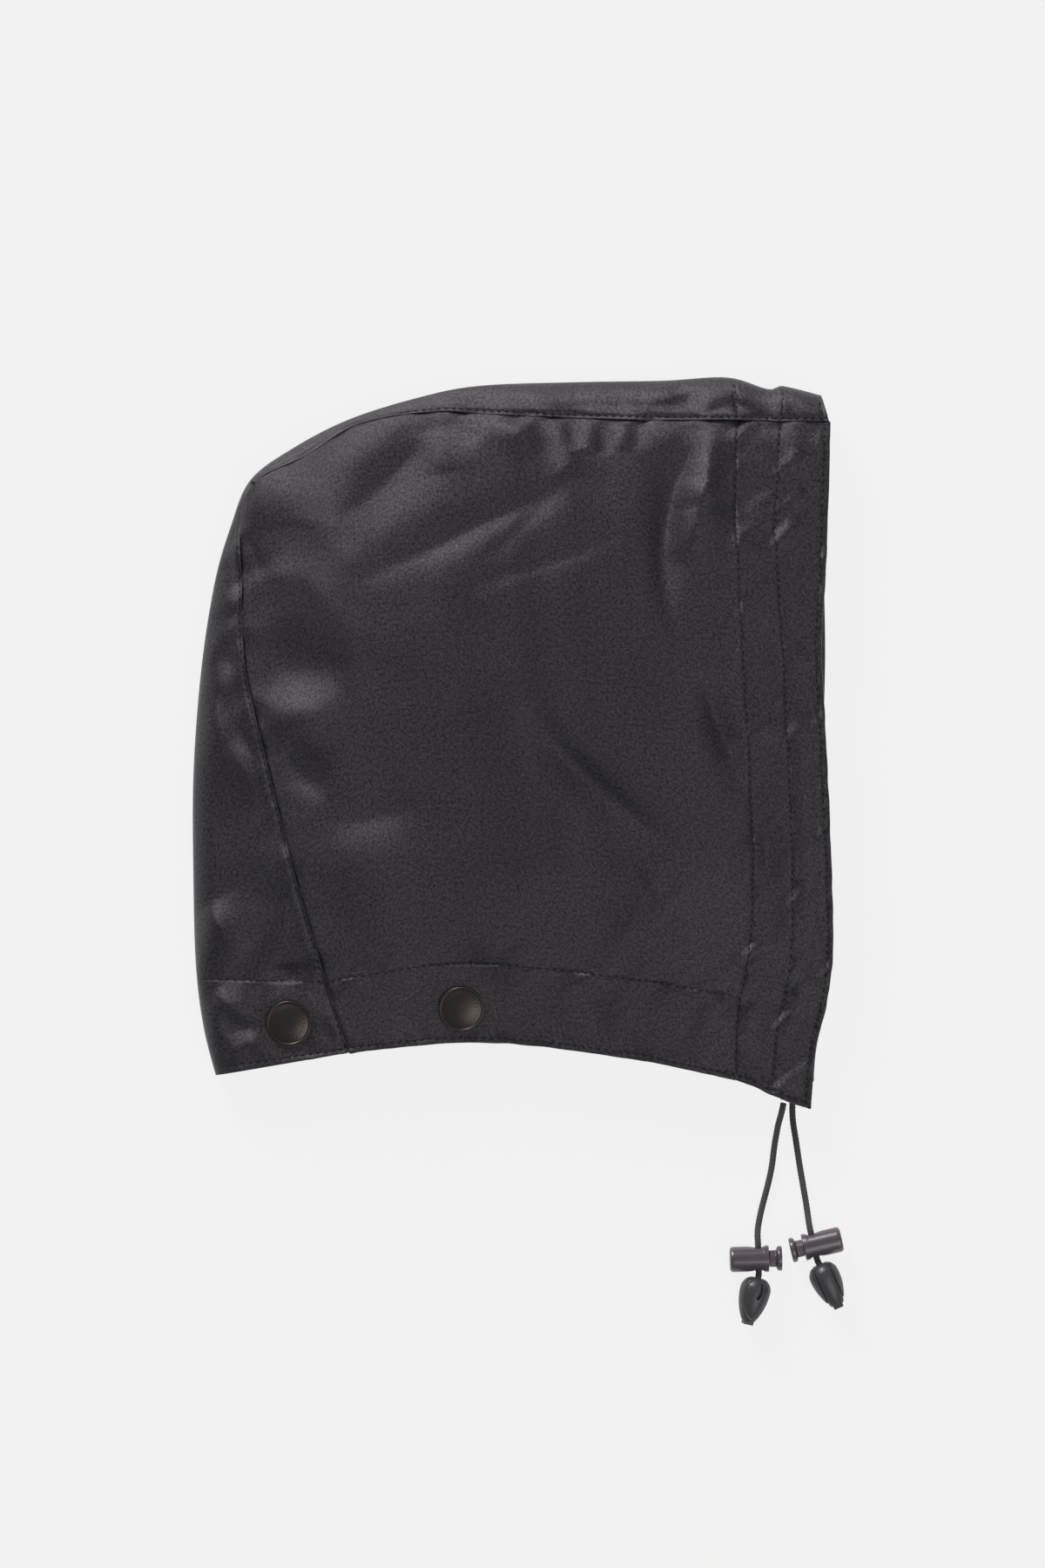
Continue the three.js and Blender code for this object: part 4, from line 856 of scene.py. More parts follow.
def add_panel(plan, side, name):
    """A side panel's wall, with grid lines gathered along its stitch lines."""
    shape, sewing = plan.shape, plan.sewing
    rim = shape.cloth / 2
    columns, rows = SIDE_CELLS[side]
    row_stretch, row_share = grid_lines(rows, SIDE_PINCH)
    column_stretch, column_share = grid_lines(columns, SIDE_PINCH)
    rough_across = np.linspace(0, 1, len(column_share))
    drop = plan.drop(side, rough_across)
    down = between([0 * drop, np.full_like(drop, NECK_LINE), 1 - sewing.hem_inset / drop, 1 - rim / drop],
                   row_stretch[:, None], row_share[:, None])
    width = plan.width(side, down)
    across = between([
        rim / width, sewing.edge_inset / width, facing_line("tunnel", down), facing_line("inner", down),
        1 + 0 * width,
    ], column_stretch[None, :], column_share[None, :])
    sign = -1 if side == "far" else 1
    points = tucked(plan, plan.panel_surface(side, across, down), side == "near")
    return wall(name, points, 0, shape.cloth, sign, rub_of(plan, points, side == "near"))


def rub_of(plan, points, above):
    """How rubbed the cloth is, from 0 in a valley to 1 on a ridge, by its height over the bare lie."""
    below, level, full = 0.4, 0.45, 5 * MM
    if not np.any(above):
        return np.full(points.shape[:2], below)
    bare = plan.bare_height(points[..., :2], True)
    relief = points[..., 2] - bare + plan.main_folds(points[..., :2])
    return np.where(above, np.clip(level + relief / full, 0, 1), below)


def add_centre(plan):
    """The centre panel's wall, from its upper seam round the fold to its lower seam."""
    shape, sewing = plan.shape, plan.sewing
    rim = shape.cloth / 2
    top, back = plan.top_length, plan.back_length
    stretch, share = grid_lines(CENTRE_CELLS[0], CENTRE_PINCH[0])
    run = between([
        rim / top, sewing.edge_inset / top, FACING["tunnel"][0], FACING["inner"][0], 1.0,
        1 + NECK_LINE, 2 - sewing.hem_inset / back, 2 - rim / back,
    ], stretch, share)[:, None]
    near_reach, far_reach = plan.seam_distance(run, "near"), plan.seam_distance(run, "far")
    stretch, share = grid_lines(CENTRE_CELLS[1], CENTRE_PINCH[1])
    sewn = plan.turn_at(np.maximum(near_reach - sewing.seam_inset, 0.6 * near_reach))
    turn = between([
        plan.turn_at(near_reach - rim / 2), sewn, np.minimum(1, 0.8 * sewn), 0 * run,
        -np.minimum(1, 0.9 * plan.turn_at(far_reach)), -plan.turn_at(far_reach - rim / 2),
    ], stretch[None, :], share[None, :])
    points = plan.centre_surface(run + 0 * turn, turn)
    from_seam = np.where(turn > 0, near_reach, far_reach) - plan.distance_at(np.abs(turn))
    thickness = shape.cloth * (0.5 + 0.5 * smooth((from_seam - rim / 2) / (2 * rim)))
    return wall("centre_panel_cloth", points, 0, thickness, plan.fold_normals(run + 0 * turn, turn, points),
                rub_of(plan, points, turn > 0))


def band_depth(plan, across, tunnel, width, side_share):
    """Depth of the front facing's outer face: under the cloth, and deeper round the drawcord's channel."""
    shape = plan.shape
    from_cord = np.abs(across - tunnel * side_share) * width
    bulge = 1 - smooth((from_cord - shape.channel / 2) / shape.channel)
    return plan.facing_depth + (shape.channel_depth - plan.facing_depth) * bulge


def over_fold(plan, run, count):
    """The outer face from the upper seam round the fold to the lower seam, without the rows on the seams, and
    the rows' shares of the way, from 1 to -1."""
    share = np.linspace(1, -1, count)[1:-1, None]
    reach = np.where(share > 0, plan.seam_distance(run, "near"), plan.seam_distance(run, "far"))
    turn = share * plan.turn_at(reach)
    return plan.centre_surface(run + 0 * turn, turn, sewn=False), share


def add_front_facing(plan):
    """The front facing: one band inside the face edge, up the upper side, over the fold and down again."""
    shape = plan.shape
    rim = shape.facing / 2
    stretch, share = grid_lines(FACING_CELLS, FACING_PINCH)
    side_rows, fold_rows = 150, 48
    parts, depths = [], []
    for side, down in (("near", np.linspace(1, 0, side_rows)), ("far", np.linspace(0, 1, side_rows))):
        width = plan.width(side, down)[:, None]
        tunnel, inner = facing_line("tunnel", down)[:, None], facing_line("inner", down)[:, None]
        across = between([2 * rim / width, tunnel, inner], stretch[None, :], share[None, :])
        down = down[:, None] * (1 - 2 * rim / shape.height) + 0 * across
        parts.append(plan.panel_surface(side, across, down, sewn=False))
        depths.append(band_depth(plan, across, tunnel, width, CHANNEL[side]))
    top, tunnel, inner = plan.top_length, FACING["tunnel"][0], FACING["inner"][0]
    run = between([np.array(2 * rim / top), np.array(tunnel), np.array(inner)], stretch, share)[None, :]
    over, t = over_fold(plan, run, fold_rows)
    side_share = CHANNEL["far"] + (CHANNEL["near"] - CHANNEL["far"]) * (t + 1) / 2
    over_depth = band_depth(plan, run, tunnel, top, side_share)
    points = np.concatenate([parts[0], over, parts[1]])
    depth = np.concatenate([depths[0], over_depth, depths[1]])
    return wall("front_facing_cloth", points, depth, shape.facing, -1)


def add_neck_facing(plan):
    """The neck facing: one band inside the neck edge, along the upper side, round the back and along the
    lower side."""
    shape = plan.shape
    rim = shape.facing
    columns, side_rows, fold_rows = 26, 110, 60
    down = np.linspace(NECK_LINE, 1 - 2 * rim / shape.height, columns)[None, :]
    start = facing_line("inner", down) + 1.5 * rim / shape.depth
    parts = []
    for side, share in (("near", np.linspace(0, 1, side_rows)), ("far", np.linspace(1, 0, side_rows))):
        across = start + (1 - start) * share[:, None]
        parts.append(plan.panel_surface(side, across, down + 0 * across, sewn=False))
    over, _ = over_fold(plan, 1 + down, fold_rows)
    points = np.concatenate([parts[0], over, parts[1]])
    return wall("neck_facing_cloth", points, plan.facing_depth, shape.facing, -1)


def angles_round(sides):
    """Even angles round a circle, as one row."""
    return np.linspace(0, 2 * np.pi, sides, endpoint=False)[None, :]


def tube(centres, radii):
    """Rings of points round a line: centre + radius (cos angle out + sin angle side). radii has one value for
    each ring and side."""
    along = unit(np.gradient(centres, axis=0))
    side = unit(np.cross(along, np.array((0.0, 0.0, 1.0))))
    out = np.cross(side, along)
    angle = angles_round(radii.shape[1])[..., None]
    ring = out[:, None] * np.cos(angle) + side[:, None] * np.sin(angle)
    return centres[:, None] + ring * radii[..., None]


def end_fans(count, sides):
    """Triangles that close a tube's two ends on the two points that follow its rings."""
    k = np.arange(sides)
    n = (k + 1) % sides
    last = (count - 1) * sides
    return (np.stack([np.full(sides, count * sides), n, k], axis=1),
            np.stack([np.full(sides, count * sides + 1), last + k, last + n], axis=1))


def closed_tube(name, rings, uv=None, values=None):
    """A mesh from rings of points, closed by a fan to the middle of each end."""
    count, sides = rings.shape[:2]
    points = np.concatenate([rings.reshape(-1, 3), rings[:1].mean(1), rings[-1:].mean(1)])
    quads, start, end = turned_out(points, grid_quads(count, sides, wrap=True), *end_fans(count, sides))
    if uv is not None:
        uv = np.concatenate([uv.reshape(-1, 2), uv[:1].mean(1), uv[-1:].mean(1)])
    values = {key: np.concatenate([v.reshape(-1), (v[0].mean(), v[-1].mean())])
              for key, v in (values or {}).items()}
    return make_object(name, points, quads.tolist() + start.tolist() + end.tolist(), uv, values)


def add_drawcord(context, side):
    """A braided cord. Two families of strands wind both ways round it. A strand's height is the root of a
    half sine across it, raised where it passes over the other family and lowered where under."""
    trims = context.scene.hood_trims
    rows = np.array(CORD_ROUTES[side])
    places = np.linspace(0, len(rows) - 1, 20 * FINE)
    line = through_rows(rows, places)
    length = lengths_along(line)
    ring_step = 0.17 * MM
    s = np.linspace(0, length[-1], int(length[-1] / ring_step))
    centres = np.stack([np.interp(s, length, line[:, k]) for k in range(3)], axis=1)
    sides, strands, lay = 48, 8, 1.5 * MM
    valley, crossing = 0.76, 0.35
    angle = np.linspace(0, 1, sides, endpoint=False)[None, :] * strands
    u, v = angle + s[:, None] / lay, angle - s[:, None] / lay
    cross_u, cross_v = np.sqrt(np.abs(np.sin(np.pi * u))), np.sqrt(np.abs(np.sin(np.pi * v)))
    parity_u, parity_v = (-1.0) ** np.floor(u), (-1.0) ** np.floor(v)
    warp = cross_u * (1 - crossing + crossing * np.cos(np.pi * (v - 0.5)) * parity_u)
    weft = cross_v * (1 - crossing - crossing * np.cos(np.pi * (u - 0.5)) * parity_v)
    raised = np.maximum(warp, weft)
    rings = tube(centres, trims.cord / 2 * (valley + (1 - valley) * raised))
    uv = np.stack(np.broadcast_arrays(angle / strands, s[:, None]), axis=-1)
    # The braid's height goes on the points, for the cord's painted shade between strands.
    piece = closed_tube(f"{side}_drawcord_braid", rings, uv, {"rub_and_braid_shade": raised})
    return piece, centres, float(length[-1])


def lathe(name, profile, sides, matrix, wobble=None):
    """A turned piece round local +Z from (radius, along) points, with an extra height along it where wobble
    gives one from radius and angle. The first and last points are on the axis."""
    profile = np.array(profile, float)
    angle = angles_round(sides)
    radius, along = profile[1:-1, :1] + 0 * angle, profile[1:-1, 1:] + 0 * angle
    if wobble is not None:
        along = along + wobble(radius, angle)
    rings = np.stack([radius * np.cos(angle), radius * np.sin(angle), along], axis=-1)
    piece = closed_tube(name, rings)
    piece.data.transform(matrix)
    return piece


def place_matrix(origin, axis):
    """A matrix that takes local +Z to the axis, at the origin."""
    turn = Vector(axis).to_track_quat("Z", "Y").to_matrix().to_4x4()
    return Matrix.Translation(Vector(origin)) @ turn


def stud_places(plan):
    """Each stud's point on the cloth and the outward normal there: two above and, under them, two below."""
    places = {}
    for name, spot in plan.spots.items():
        height, slope_x, slope_y = plan.planes[name]
        places[f"right_{name}"] = ((*spot, height), Vector((-slope_x, -slope_y, 1)).normalized())
        places[f"left_{name}"] = ((*spot, plan.shape.stud_lift), Vector((0, 0, -1)))
    return places


def rounded(corners, radius, steps=4):
    """A profile whose inner corners are replaced by quadratic bends that start the radius before them, or
    just short of halfway to the next corner."""
    most = 0.45
    corners = [np.array(c, float) for c in corners]
    points = [corners[0]]
    for before, corner, after in zip(corners, corners[1:], corners[2:]):
        first = min(radius, most * np.linalg.norm(before - corner))
        second = min(radius, most * np.linalg.norm(after - corner))
        start = corner + unit(before - corner) * first
        end = corner + unit(after - corner) * second
        for t in np.linspace(0, 1, steps + 1):
            points.append(start * (1 - t) ** 2 + corner * 2 * t * (1 - t) + end * t ** 2)
    points.append(corners[-1])
    return points


def add_cap(context, name, origin, normal):
    """A stud's cap and post: a rim, a groove inside it and a low dome with a ring of fine plain dots. The
    dome's height falls with a power of the radius."""
    trims, shape = context.scene.hood_trims, context.scene.hood_shape
    edge, top, post, rim = trims.cap / 2, trims.cap_height, trims.post / 2, trims.cap_edge
    post_past, rounding, dome_power = 1.2 * MM, 0.18 * MM, 2.4
    reach = shape.cloth + shape.layer_gap + shape.facing + post_past
    corners = [
        (0, -reach), (post, -reach), (post, 0), (edge - 0.5 * MM, 0), (edge, 0.3 * MM),
        (edge, rim - 0.25 * MM), (edge - 0.3 * MM, rim), (edge - 0.75 * MM, rim),
        (edge - 1.0 * MM, rim - 0.3 * MM),
    ]
    profile = rounded(corners, rounding)
    inner, base = edge - 1.15 * MM, rim - 0.3 * MM
    dome_steps, sides = 34, 156
    for share in np.linspace(0, 1, dome_steps):
        radius = inner * (1 - share)
        profile.append((radius, base + (top - base) * (1 - (radius / inner) ** dome_power)))
    dots, ring, size, dot_height = 26, 0.69 * edge, 0.34 * MM, 0.07 * MM

    def dotted(radius, angle):
        """A ring of dots: a bell of the distance to the nearest of them."""
        around = (angle / (2 * np.pi) * dots + 0.5) % 1 - 0.5
        away = np.hypot(radius - ring, around * 2 * np.pi * ring / dots)
        return dot_height * np.exp(-(away / size) ** 4) * (radius < inner)

    return lathe(name, profile, sides, place_matrix(origin, normal), dotted)


def add_socket(context, name, origin, normal):
    """A stud's socket: a ring with a rolled edge and a bore, turned from a closed profile."""
    trims, shape = context.scene.hood_trims, context.scene.hood_shape
    past, rounding = 0.35 * MM, 0.3 * MM
    under = shape.cloth + shape.layer_gap + shape.facing + past
    bore, edge, height = trims.socket_bore / 2, trims.socket / 2, trims.socket_height
    loop = np.array(rounded([
        (bore, 0.2 * MM), (bore, 0), (edge, 0), (edge, 0.45 * height), (edge - 0.9 * MM, height),
        (bore + 0.35 * MM, height), (bore, 0.8 * height), (bore, 0.2 * MM),
    ], rounding)[:-1])
    angle = angles_round(64)
    rings = np.stack([loop[:, :1] * np.cos(angle), loop[:, :1] * np.sin(angle), loop[:, 1:] + 0 * angle], -1)
    count, sides = rings.shape[:2]
    points = rings.reshape(-1, 3)
    quads = turned_out(points, grid_quads(count + 1, sides, wrap=True) % (count * sides))[0]
    piece = make_object(name, points, quads.tolist())
    inward = -Vector(normal)
    piece.data.transform(place_matrix(Vector(origin) + inward * under, inward))
    return piece


def modified(piece, steps):
    """Applies modifiers to a piece, each a type and its settings, and keeps the result as its mesh."""
    for kind, settings in steps:
        modifier = piece.modifiers.new(kind.title(), kind)
        for key, value in settings.items():
            setattr(modifier, key, value)
    graph = bpy.context.evaluated_depsgraph_get()
    finished = bpy.data.meshes.new_from_object(piece.evaluated_get(graph))
    piece.modifiers.clear()
    old, piece.data = piece.data, finished
    bpy.data.meshes.remove(old)
    finished.polygons.foreach_set("use_smooth", np.ones(len(finished.polygons), bool))
    return piece


def box_piece(name, size, middle):
    """A box as a cutter."""
    x, y, z = np.array(size) / 2
    ring = np.array([(-x, -y), (x, -y), (x, y), (-x, y)])
    rings = np.stack([np.column_stack([ring, np.full(4, h)]) for h in (-z, z)]) + np.array(middle)
    return closed_tube(name, rings)


def rod_piece(name, radius, length, middle, axis):
    """A round rod as a cutter."""
    profile = [(0, -length / 2), (radius, -length / 2), (radius, length / 2), (0, length / 2)]
    return lathe(name, profile, 48, place_matrix(middle, axis))


def moulded(piece, cuts, trims):
    """Cuts a piece by others, joins or keeps what they say, and rounds its edges on a fine grid of voxels."""
    steps = [("BOOLEAN", {"operation": kind, "object": cutter, "solver": "EXACT"}) for kind, cutter in cuts]
    steps.append(("REMESH", {"mode": "VOXEL", "voxel_size": trims.voxel}))
    steps.append(("SMOOTH", {"factor": 0.5, "iterations": 4}))
    modified(piece, steps)
    for _, cutter in cuts:
        bpy.data.objects.remove(cutter)
    return piece


def turned_on_x(name, profile, sides, section=None):
    """A turned piece along local +X from (radius, along) points. section gives a factor of the radius from
    the angle and the place along."""
    profile = np.array(profile, float)
    angle = angles_round(sides)
    along = profile[1:-1, 1:] + 0 * angle
    radius = profile[1:-1, :1] * (section(angle, along) if section else 1 + 0 * angle)
    rings = np.stack([along, radius * np.cos(angle), radius * np.sin(angle)], axis=-1)
    return closed_tube(name, rings)


def add_lock(context, side):
    """A cord lock's barrel and plunger. The barrel dips round its cord hole, by a bell along it times a power
    of the cosine round it, and has a low collar at its open end. The plunger's neck is eight-sided."""
    trims = context.scene.hood_trims
    half, radius, flange = trims.barrel_length / 2, trims.barrel / 2, trims.flange / 2
    stem, hole = trims.stem / 2, trims.hole / 2
    hole_at = half - trims.hole_setback
    clearance, past_hole = 0.35 * MM, 2 * MM
    rounding, lip, lip_rounding = 1.5 * MM, 0.5 * MM, 0.4 * MM
    bend = rounded([(0, -half), (radius, -half), (radius, half)], rounding, 8)[:-1]
    side_points = [(radius, x) for x in np.linspace(-half + 1.2 * rounding, half - lip, 60)]
    mouth = rounded([(radius, half - lip), (radius, half), (stem, half)], lip_rounding)[1:]
    profile = bend + side_points + mouth + [(0, half)]
    dip_depth, dip_width = 0.14, 2.3 * MM
    collar_rise, collar_start, collar_run = 0.07, 1.7 * MM, 0.5 * MM

    def scalloped(angle, along):
        """Factor of the barrel's radius: 1, less the dip, plus the collar."""
        round_it = np.abs(np.cos(angle))
        dip = dip_depth * np.exp(-((along - hole_at) / dip_width) ** 2) * round_it ** 10
        collar = collar_rise * smooth((along - hole_at - collar_start) / collar_run) * round_it ** 4
        return 1 - dip + collar

    barrel = turned_on_x(f"{side}_lock_barrel_moulded", profile, 96, scalloped)
    stem_end = hole_at - hole - past_hole
    bore_length = 2 * (half - (stem_end - trims.travel - clearance))
    moulded(barrel, [
        ("DIFFERENCE", rod_piece("cut_hole", hole, 4 * radius, (hole_at, 0, 0), (0, 1, 0))),
        ("DIFFERENCE", rod_piece("cut_bore", stem + clearance, bore_length, (half, 0, 0), (1, 0, 0))),
    ], trims)
    start = half + trims.neck
    end = start + trims.flange_length
    swell, dish, dish_depth = flange + 0.1 * MM, 0.62 * flange, 0.6 * MM
    corners = [
        (0, stem_end), (stem, stem_end), (stem, start), (flange - 0.7 * MM, start + 0.1 * MM),
        (swell, start + 0.7 * MM), (swell, end - 0.1 * MM), (flange - 0.5 * MM, end + 0.05 * MM),
        (0.7 * flange, end - 0.05 * MM), (dish, end - dish_depth), (0, end - dish_depth),
    ]
    neck_swell = 1.05

    def eight_sided(angle, along):
        """Factor of the stem's radius: an octagon's, up to the head."""
        corner = np.cos(np.pi / 8) / np.cos((angle + np.pi / 8) % (np.pi / 4) - np.pi / 8)
        return np.where(along < start - 0.1 * MM, neck_swell * corner, 1)

    plunger = turned_on_x(f"{side}_lock_plunger_moulded", rounded(corners, 0.3 * MM), 96, eight_sided)
    slot = (trims.hole + trims.travel, 4 * stem, trims.hole)
    moulded(plunger, [("DIFFERENCE", box_piece("cut_slot", slot, (hole_at + trims.travel / 2, 0, 0)))], trims)
    angle = math.radians(LOCK_ANGLES[side])
    at = Vector(CORD_ROUTES[side][LOCK_ROW]) - Vector((math.cos(angle), math.sin(angle), 0)) * hole_at
    matrix = Matrix.Translation(at) @ Matrix.Rotation(angle, 4, "Z")
    for piece in (barrel, plunger):
        piece.data.transform(matrix)
    return barrel, plunger


def add_end(context, side):
    """A cord end: an egg cut into a core with a tab and two cheeks with a slot each. A slightly smaller egg,
    joined to the core, is the floor of the partings and the slots."""
    trims = context.scene.hood_trims
    length, radius = trims.egg_length, trims.egg / 2
    backing_share, floor_share = 0.9, 1.9
    tab_length, tab_width = 9 * MM, 3.8 * MM
    cord_hole, hole_length = 1.7 * MM, 8 * MM
    slot_at, slot_half_length, slot_half_width, slot_depth = 4.7 * MM, 3.2 * MM, 1.15 * MM, 1.9 * MM
    rows = np.array(EGG) * (length, radius)
    outline = through_rows(rows, np.linspace(0, len(rows) - 1, 90))[:, ::-1]
    profile = [(0, outline[0][1]), *outline.tolist(), (0, outline[-1][1])]
    far = 3 * length
    slab = (far, trims.core, far)
    gap = (far, trims.core + 2 * trims.parting, far)
    pieces = {key: turned_on_x(f"{side}_{name}_moulded", profile, 96) for key, name in END_PIECES.items()}
    backing = turned_on_x("backing", [(backing_share * r, x) for r, x in profile], 96)
    groove_floor = box_piece("groove_floor", (far, trims.core + floor_share * trims.parting, far), (0, 0, 0))
    modified(backing, [("BOOLEAN", {"operation": "INTERSECT", "object": groove_floor, "solver": "EXACT"})])
    bpy.data.objects.remove(groove_floor)
    moulded(pieces["core"], [
        ("INTERSECT", box_piece("keep_slab", slab, (0, 0, 0))),
        ("UNION", backing),
        ("UNION", box_piece("tab", (tab_length, tab_width, tab_width), (length - tab_length / 2, 0, 0))),
        ("DIFFERENCE", rod_piece("cut_cord", cord_hole, hole_length, (0, 0, 0), (1, 0, 0))),
    ], trims)
    for key, hand in (("upper", 1), ("lower", -1)):
        cut = lathe("cut_slot", [(0, -slot_depth), (1, -slot_depth), (1, 2 * MM), (0, 2 * MM)], 48,
                    place_matrix((slot_at, hand * radius, 0), (0, 1, 0))
                    @ Matrix.Diagonal((slot_half_length, slot_half_width, hand, 1)))
        moulded(pieces[key], [
            ("DIFFERENCE", box_piece("cut_gap", gap, (0, 0, 0))),
            ("INTERSECT", box_piece("keep_half", (far, far, far), (0, hand * far / 2, 0))),
            ("DIFFERENCE", cut),
        ], trims)
    turn = Euler((math.radians(END_ROLLS[side]), 0, math.radians(END_ANGLES[side])), "XYZ")
    matrix = Matrix.Translation(Vector(CORD_ROUTES[side][END_ROW])) @ turn.to_matrix().to_4x4()
    for piece in pieces.values():
        piece.data.transform(matrix)
    return pieces


def stitch_form(sewing):
    """One stitch along local X: six-sided rings that thin to the ends and arch up in the middle."""
    sides = 6
    t = np.array([-0.92, -0.55, 0, 0.55, 0.92])
    x = t * sewing.stitch / 2
    radius = sewing.thread / 2 * np.sqrt(1 - t ** 2 * 0.8)
    lift = sewing.thread * (0.32 - 0.75 * t ** 2)
    angle = angles_round(sides)
    rings = np.stack([x[:, None] + 0 * angle, radius[:, None] * np.cos(angle),
                      lift[:, None] + radius[:, None] * np.sin(angle)], axis=-1)
    tips = np.array([(-sewing.stitch / 2, 0, lift[0] * 1.2), (sewing.stitch / 2, 0, lift[-1] * 1.2)])
    points = np.concatenate([rings.reshape(-1, 3), tips])
    quads, start, end = turned_out(points, grid_quads(len(t), sides, wrap=True), *end_fans(len(t), sides))
    return points, quads, np.concatenate([start, end])


def stitch_frames(surface, path, aside, sewing, outward):
    """Middles and directions of the stitches along a line of the surface's two parameters, an even pitch
    apart. The tangent runs from end to end of a stitch, and the normal is square to it and to the step
    aside."""
    points = surface(path[:, 0], path[:, 1])
    lengths = lengths_along(points)
    count = int(lengths[-1] / sewing.pitch)
    middles = (np.arange(count) + 0.5) * lengths[-1] / count
    places = [np.interp(middles + shift, lengths, np.arange(len(path)))
              for shift in (-sewing.stitch / 2, 0, sewing.stitch / 2)]
    at = [np.stack([np.interp(p, np.arange(len(path)), path[:, k]) for k in (0, 1)], axis=1) for p in places]
    back, here, on = (surface(a[:, 0], a[:, 1]) for a in at)
    low, high = (surface(at[1][:, 0] + sign * aside[0], at[1][:, 1] + sign * aside[1]) for sign in (-1, 1))
    tangent = unit(on - back)
    normal = unit(np.cross(tangent, high - low))
    normal = normal * np.sign(np.sum(normal * np.array((0, 0, outward)), axis=1))[:, None]
    return here, tangent, normal


def add_stitches(name, frames, sewing):
    """One mesh of all the stitches of some lines."""
    form, quads, triangles = stitch_form(sewing)
    middle, tangent, normal = (np.concatenate(part) for part in zip(*frames))
    across = np.cross(normal, tangent)
    axes = np.stack([tangent, across, normal], axis=1)
    points = middle[:, None] + np.einsum("vk,nkx->nvx", form, axes)
    shift = (np.arange(len(middle)) * len(form))[:, None, None]
    faces = (quads[None] + shift).reshape(-1, 4).tolist() + (triangles[None] + shift).reshape(-1, 3).tolist()
    return make_object(name, points.reshape(-1, 3), faces)


def panel_stitches(plan, side):
    """Stitch lines of a side panel: both facing lines, the face edge, the neck line and the hem."""
    sewing = plan.sewing
    outward = 1 if side == "near" else -1
    down = np.linspace(0.004, 0.996, 300)
    edge = sewing.edge_inset / plan.width(side, down)

    def surface(across, down_at):
        """This panel's outer face."""
        return plan.panel_surface(side, across, down_at)

    step = MM / plan.shape.depth
    lines = [np.stack([line, down], axis=1)
             for line in (facing_line("inner", down), facing_line("tunnel", down), edge)]
    frames = [stitch_frames(surface, line, (step, 0), sewing, outward) for line in lines]
    across = np.linspace(FACING["inner"][-2], 0.998, 300)
    neck = np.stack([across, np.full_like(across, NECK_LINE)], axis=1)
    frames.append(stitch_frames(surface, neck, (0, step), sewing, outward))
    across = np.linspace(0.012, 0.998, 300)
    hem = np.stack([across, 1 - sewing.hem_inset / plan.drop(side, across)], axis=1)
    frames.append(stitch_frames(surface, hem, (0, step), sewing, outward))
    return frames


def centre_stitches(plan):
    """Stitch lines of the centre panel: along both seams, and the lines that cross it at its two ends."""
    sewing = plan.sewing
    clear_of_fold, from_fold, from_seam = 0.6 * plan.shape.fold_run, 0.45, 0.12
    frames = []
    run = np.linspace(0.01, 1.992, 500)
    crossings = [FACING["inner"][0], FACING["tunnel"][0], sewing.edge_inset / plan.top_length, 1 + NECK_LINE,
                 2 - sewing.hem_inset / plan.back_length]
    for side, sign in (("near", 1), ("far", -1)):
        reach = plan.seam_distance(run, side) - sewing.seam_inset
        line = np.stack([run, sign * plan.turn_at(np.maximum(reach, 0))], axis=1)
        shows = reach > clear_of_fold
        for stretch in np.split(np.arange(len(run)), np.flatnonzero(np.diff(shows)) + 1):
            if shows[stretch[0]] and len(stretch) > 4:
                frames.append(stitch_frames(plan.centre_surface, line[stretch], (0, 0.05), sewing, sign))
        for crossing in crossings:
            reach = float(plan.turn_at(plan.seam_distance(np.array(crossing), side)))
            turn = sign * np.linspace(from_fold, reach - from_seam, 80)
            line = np.stack([np.full_like(turn, crossing), turn], axis=1)
            frames.append(stitch_frames(plan.centre_surface, line, (0.004, 0), sewing, sign))
    return frames


# Materials.


def new_group(name, inputs, outputs):
    """A shader node group with its sockets, as (name, type, default), and its two end nodes."""
    group = bpy.data.node_groups.new(name, "ShaderNodeTree")
    for label, kind, default in inputs:
        socket = group.interface.new_socket(name=label, in_out="INPUT", socket_type=f"NodeSocket{kind}")
        if default is not None:
            socket.default_value = default
    for label, kind in outputs:
        group.interface.new_socket(name=label, in_out="OUTPUT", socket_type=f"NodeSocket{kind}")
    return group, group.nodes.new("NodeGroupInput"), group.nodes.new("NodeGroupOutput")


def feed(tree, socket, value):
    """Links another socket to this one, or sets its value."""
    if isinstance(value, bpy.types.NodeSocket):
        tree.links.new(value, socket)
    else:
        socket.default_value = value


def node(tree, kind, settings=None, **inputs):
    """A node with its settings, and its inputs set to values or linked to sockets by name or number."""
    made = tree.nodes.new(f"ShaderNode{kind}")
    for key, value in (settings or {}).items():
        setattr(made, key, value)
    for key, value in inputs.items():
        feed(tree, made.inputs[int(key[1:]) if key[0] == "_" else key.replace("_", " ")], value)
    return made


def value_node(tree, operation, first, second=0.0, third=0.0):
    """The result of a sum on two or three values."""
    return node(tree, "Math", {"operation": operation}, _0=first, _1=second, _2=third).outputs[0]


def ranged(tree, value, start, end, low=0.0, high=1.0):
    """A value whose range from start to end is stretched from low to high, and held there outside it."""
    return node(tree, "MapRange", None, Value=value, _1=start, _2=end, _3=low, _4=high).outputs[0]


def noise_at(tree, place, scale, detail, roughness):
    """The value of a noise texture at a place."""
    made = node(tree, "TexNoise", None, Vector=place, Scale=scale, Detail=detail, Roughness=roughness)
    return made.outputs[0]


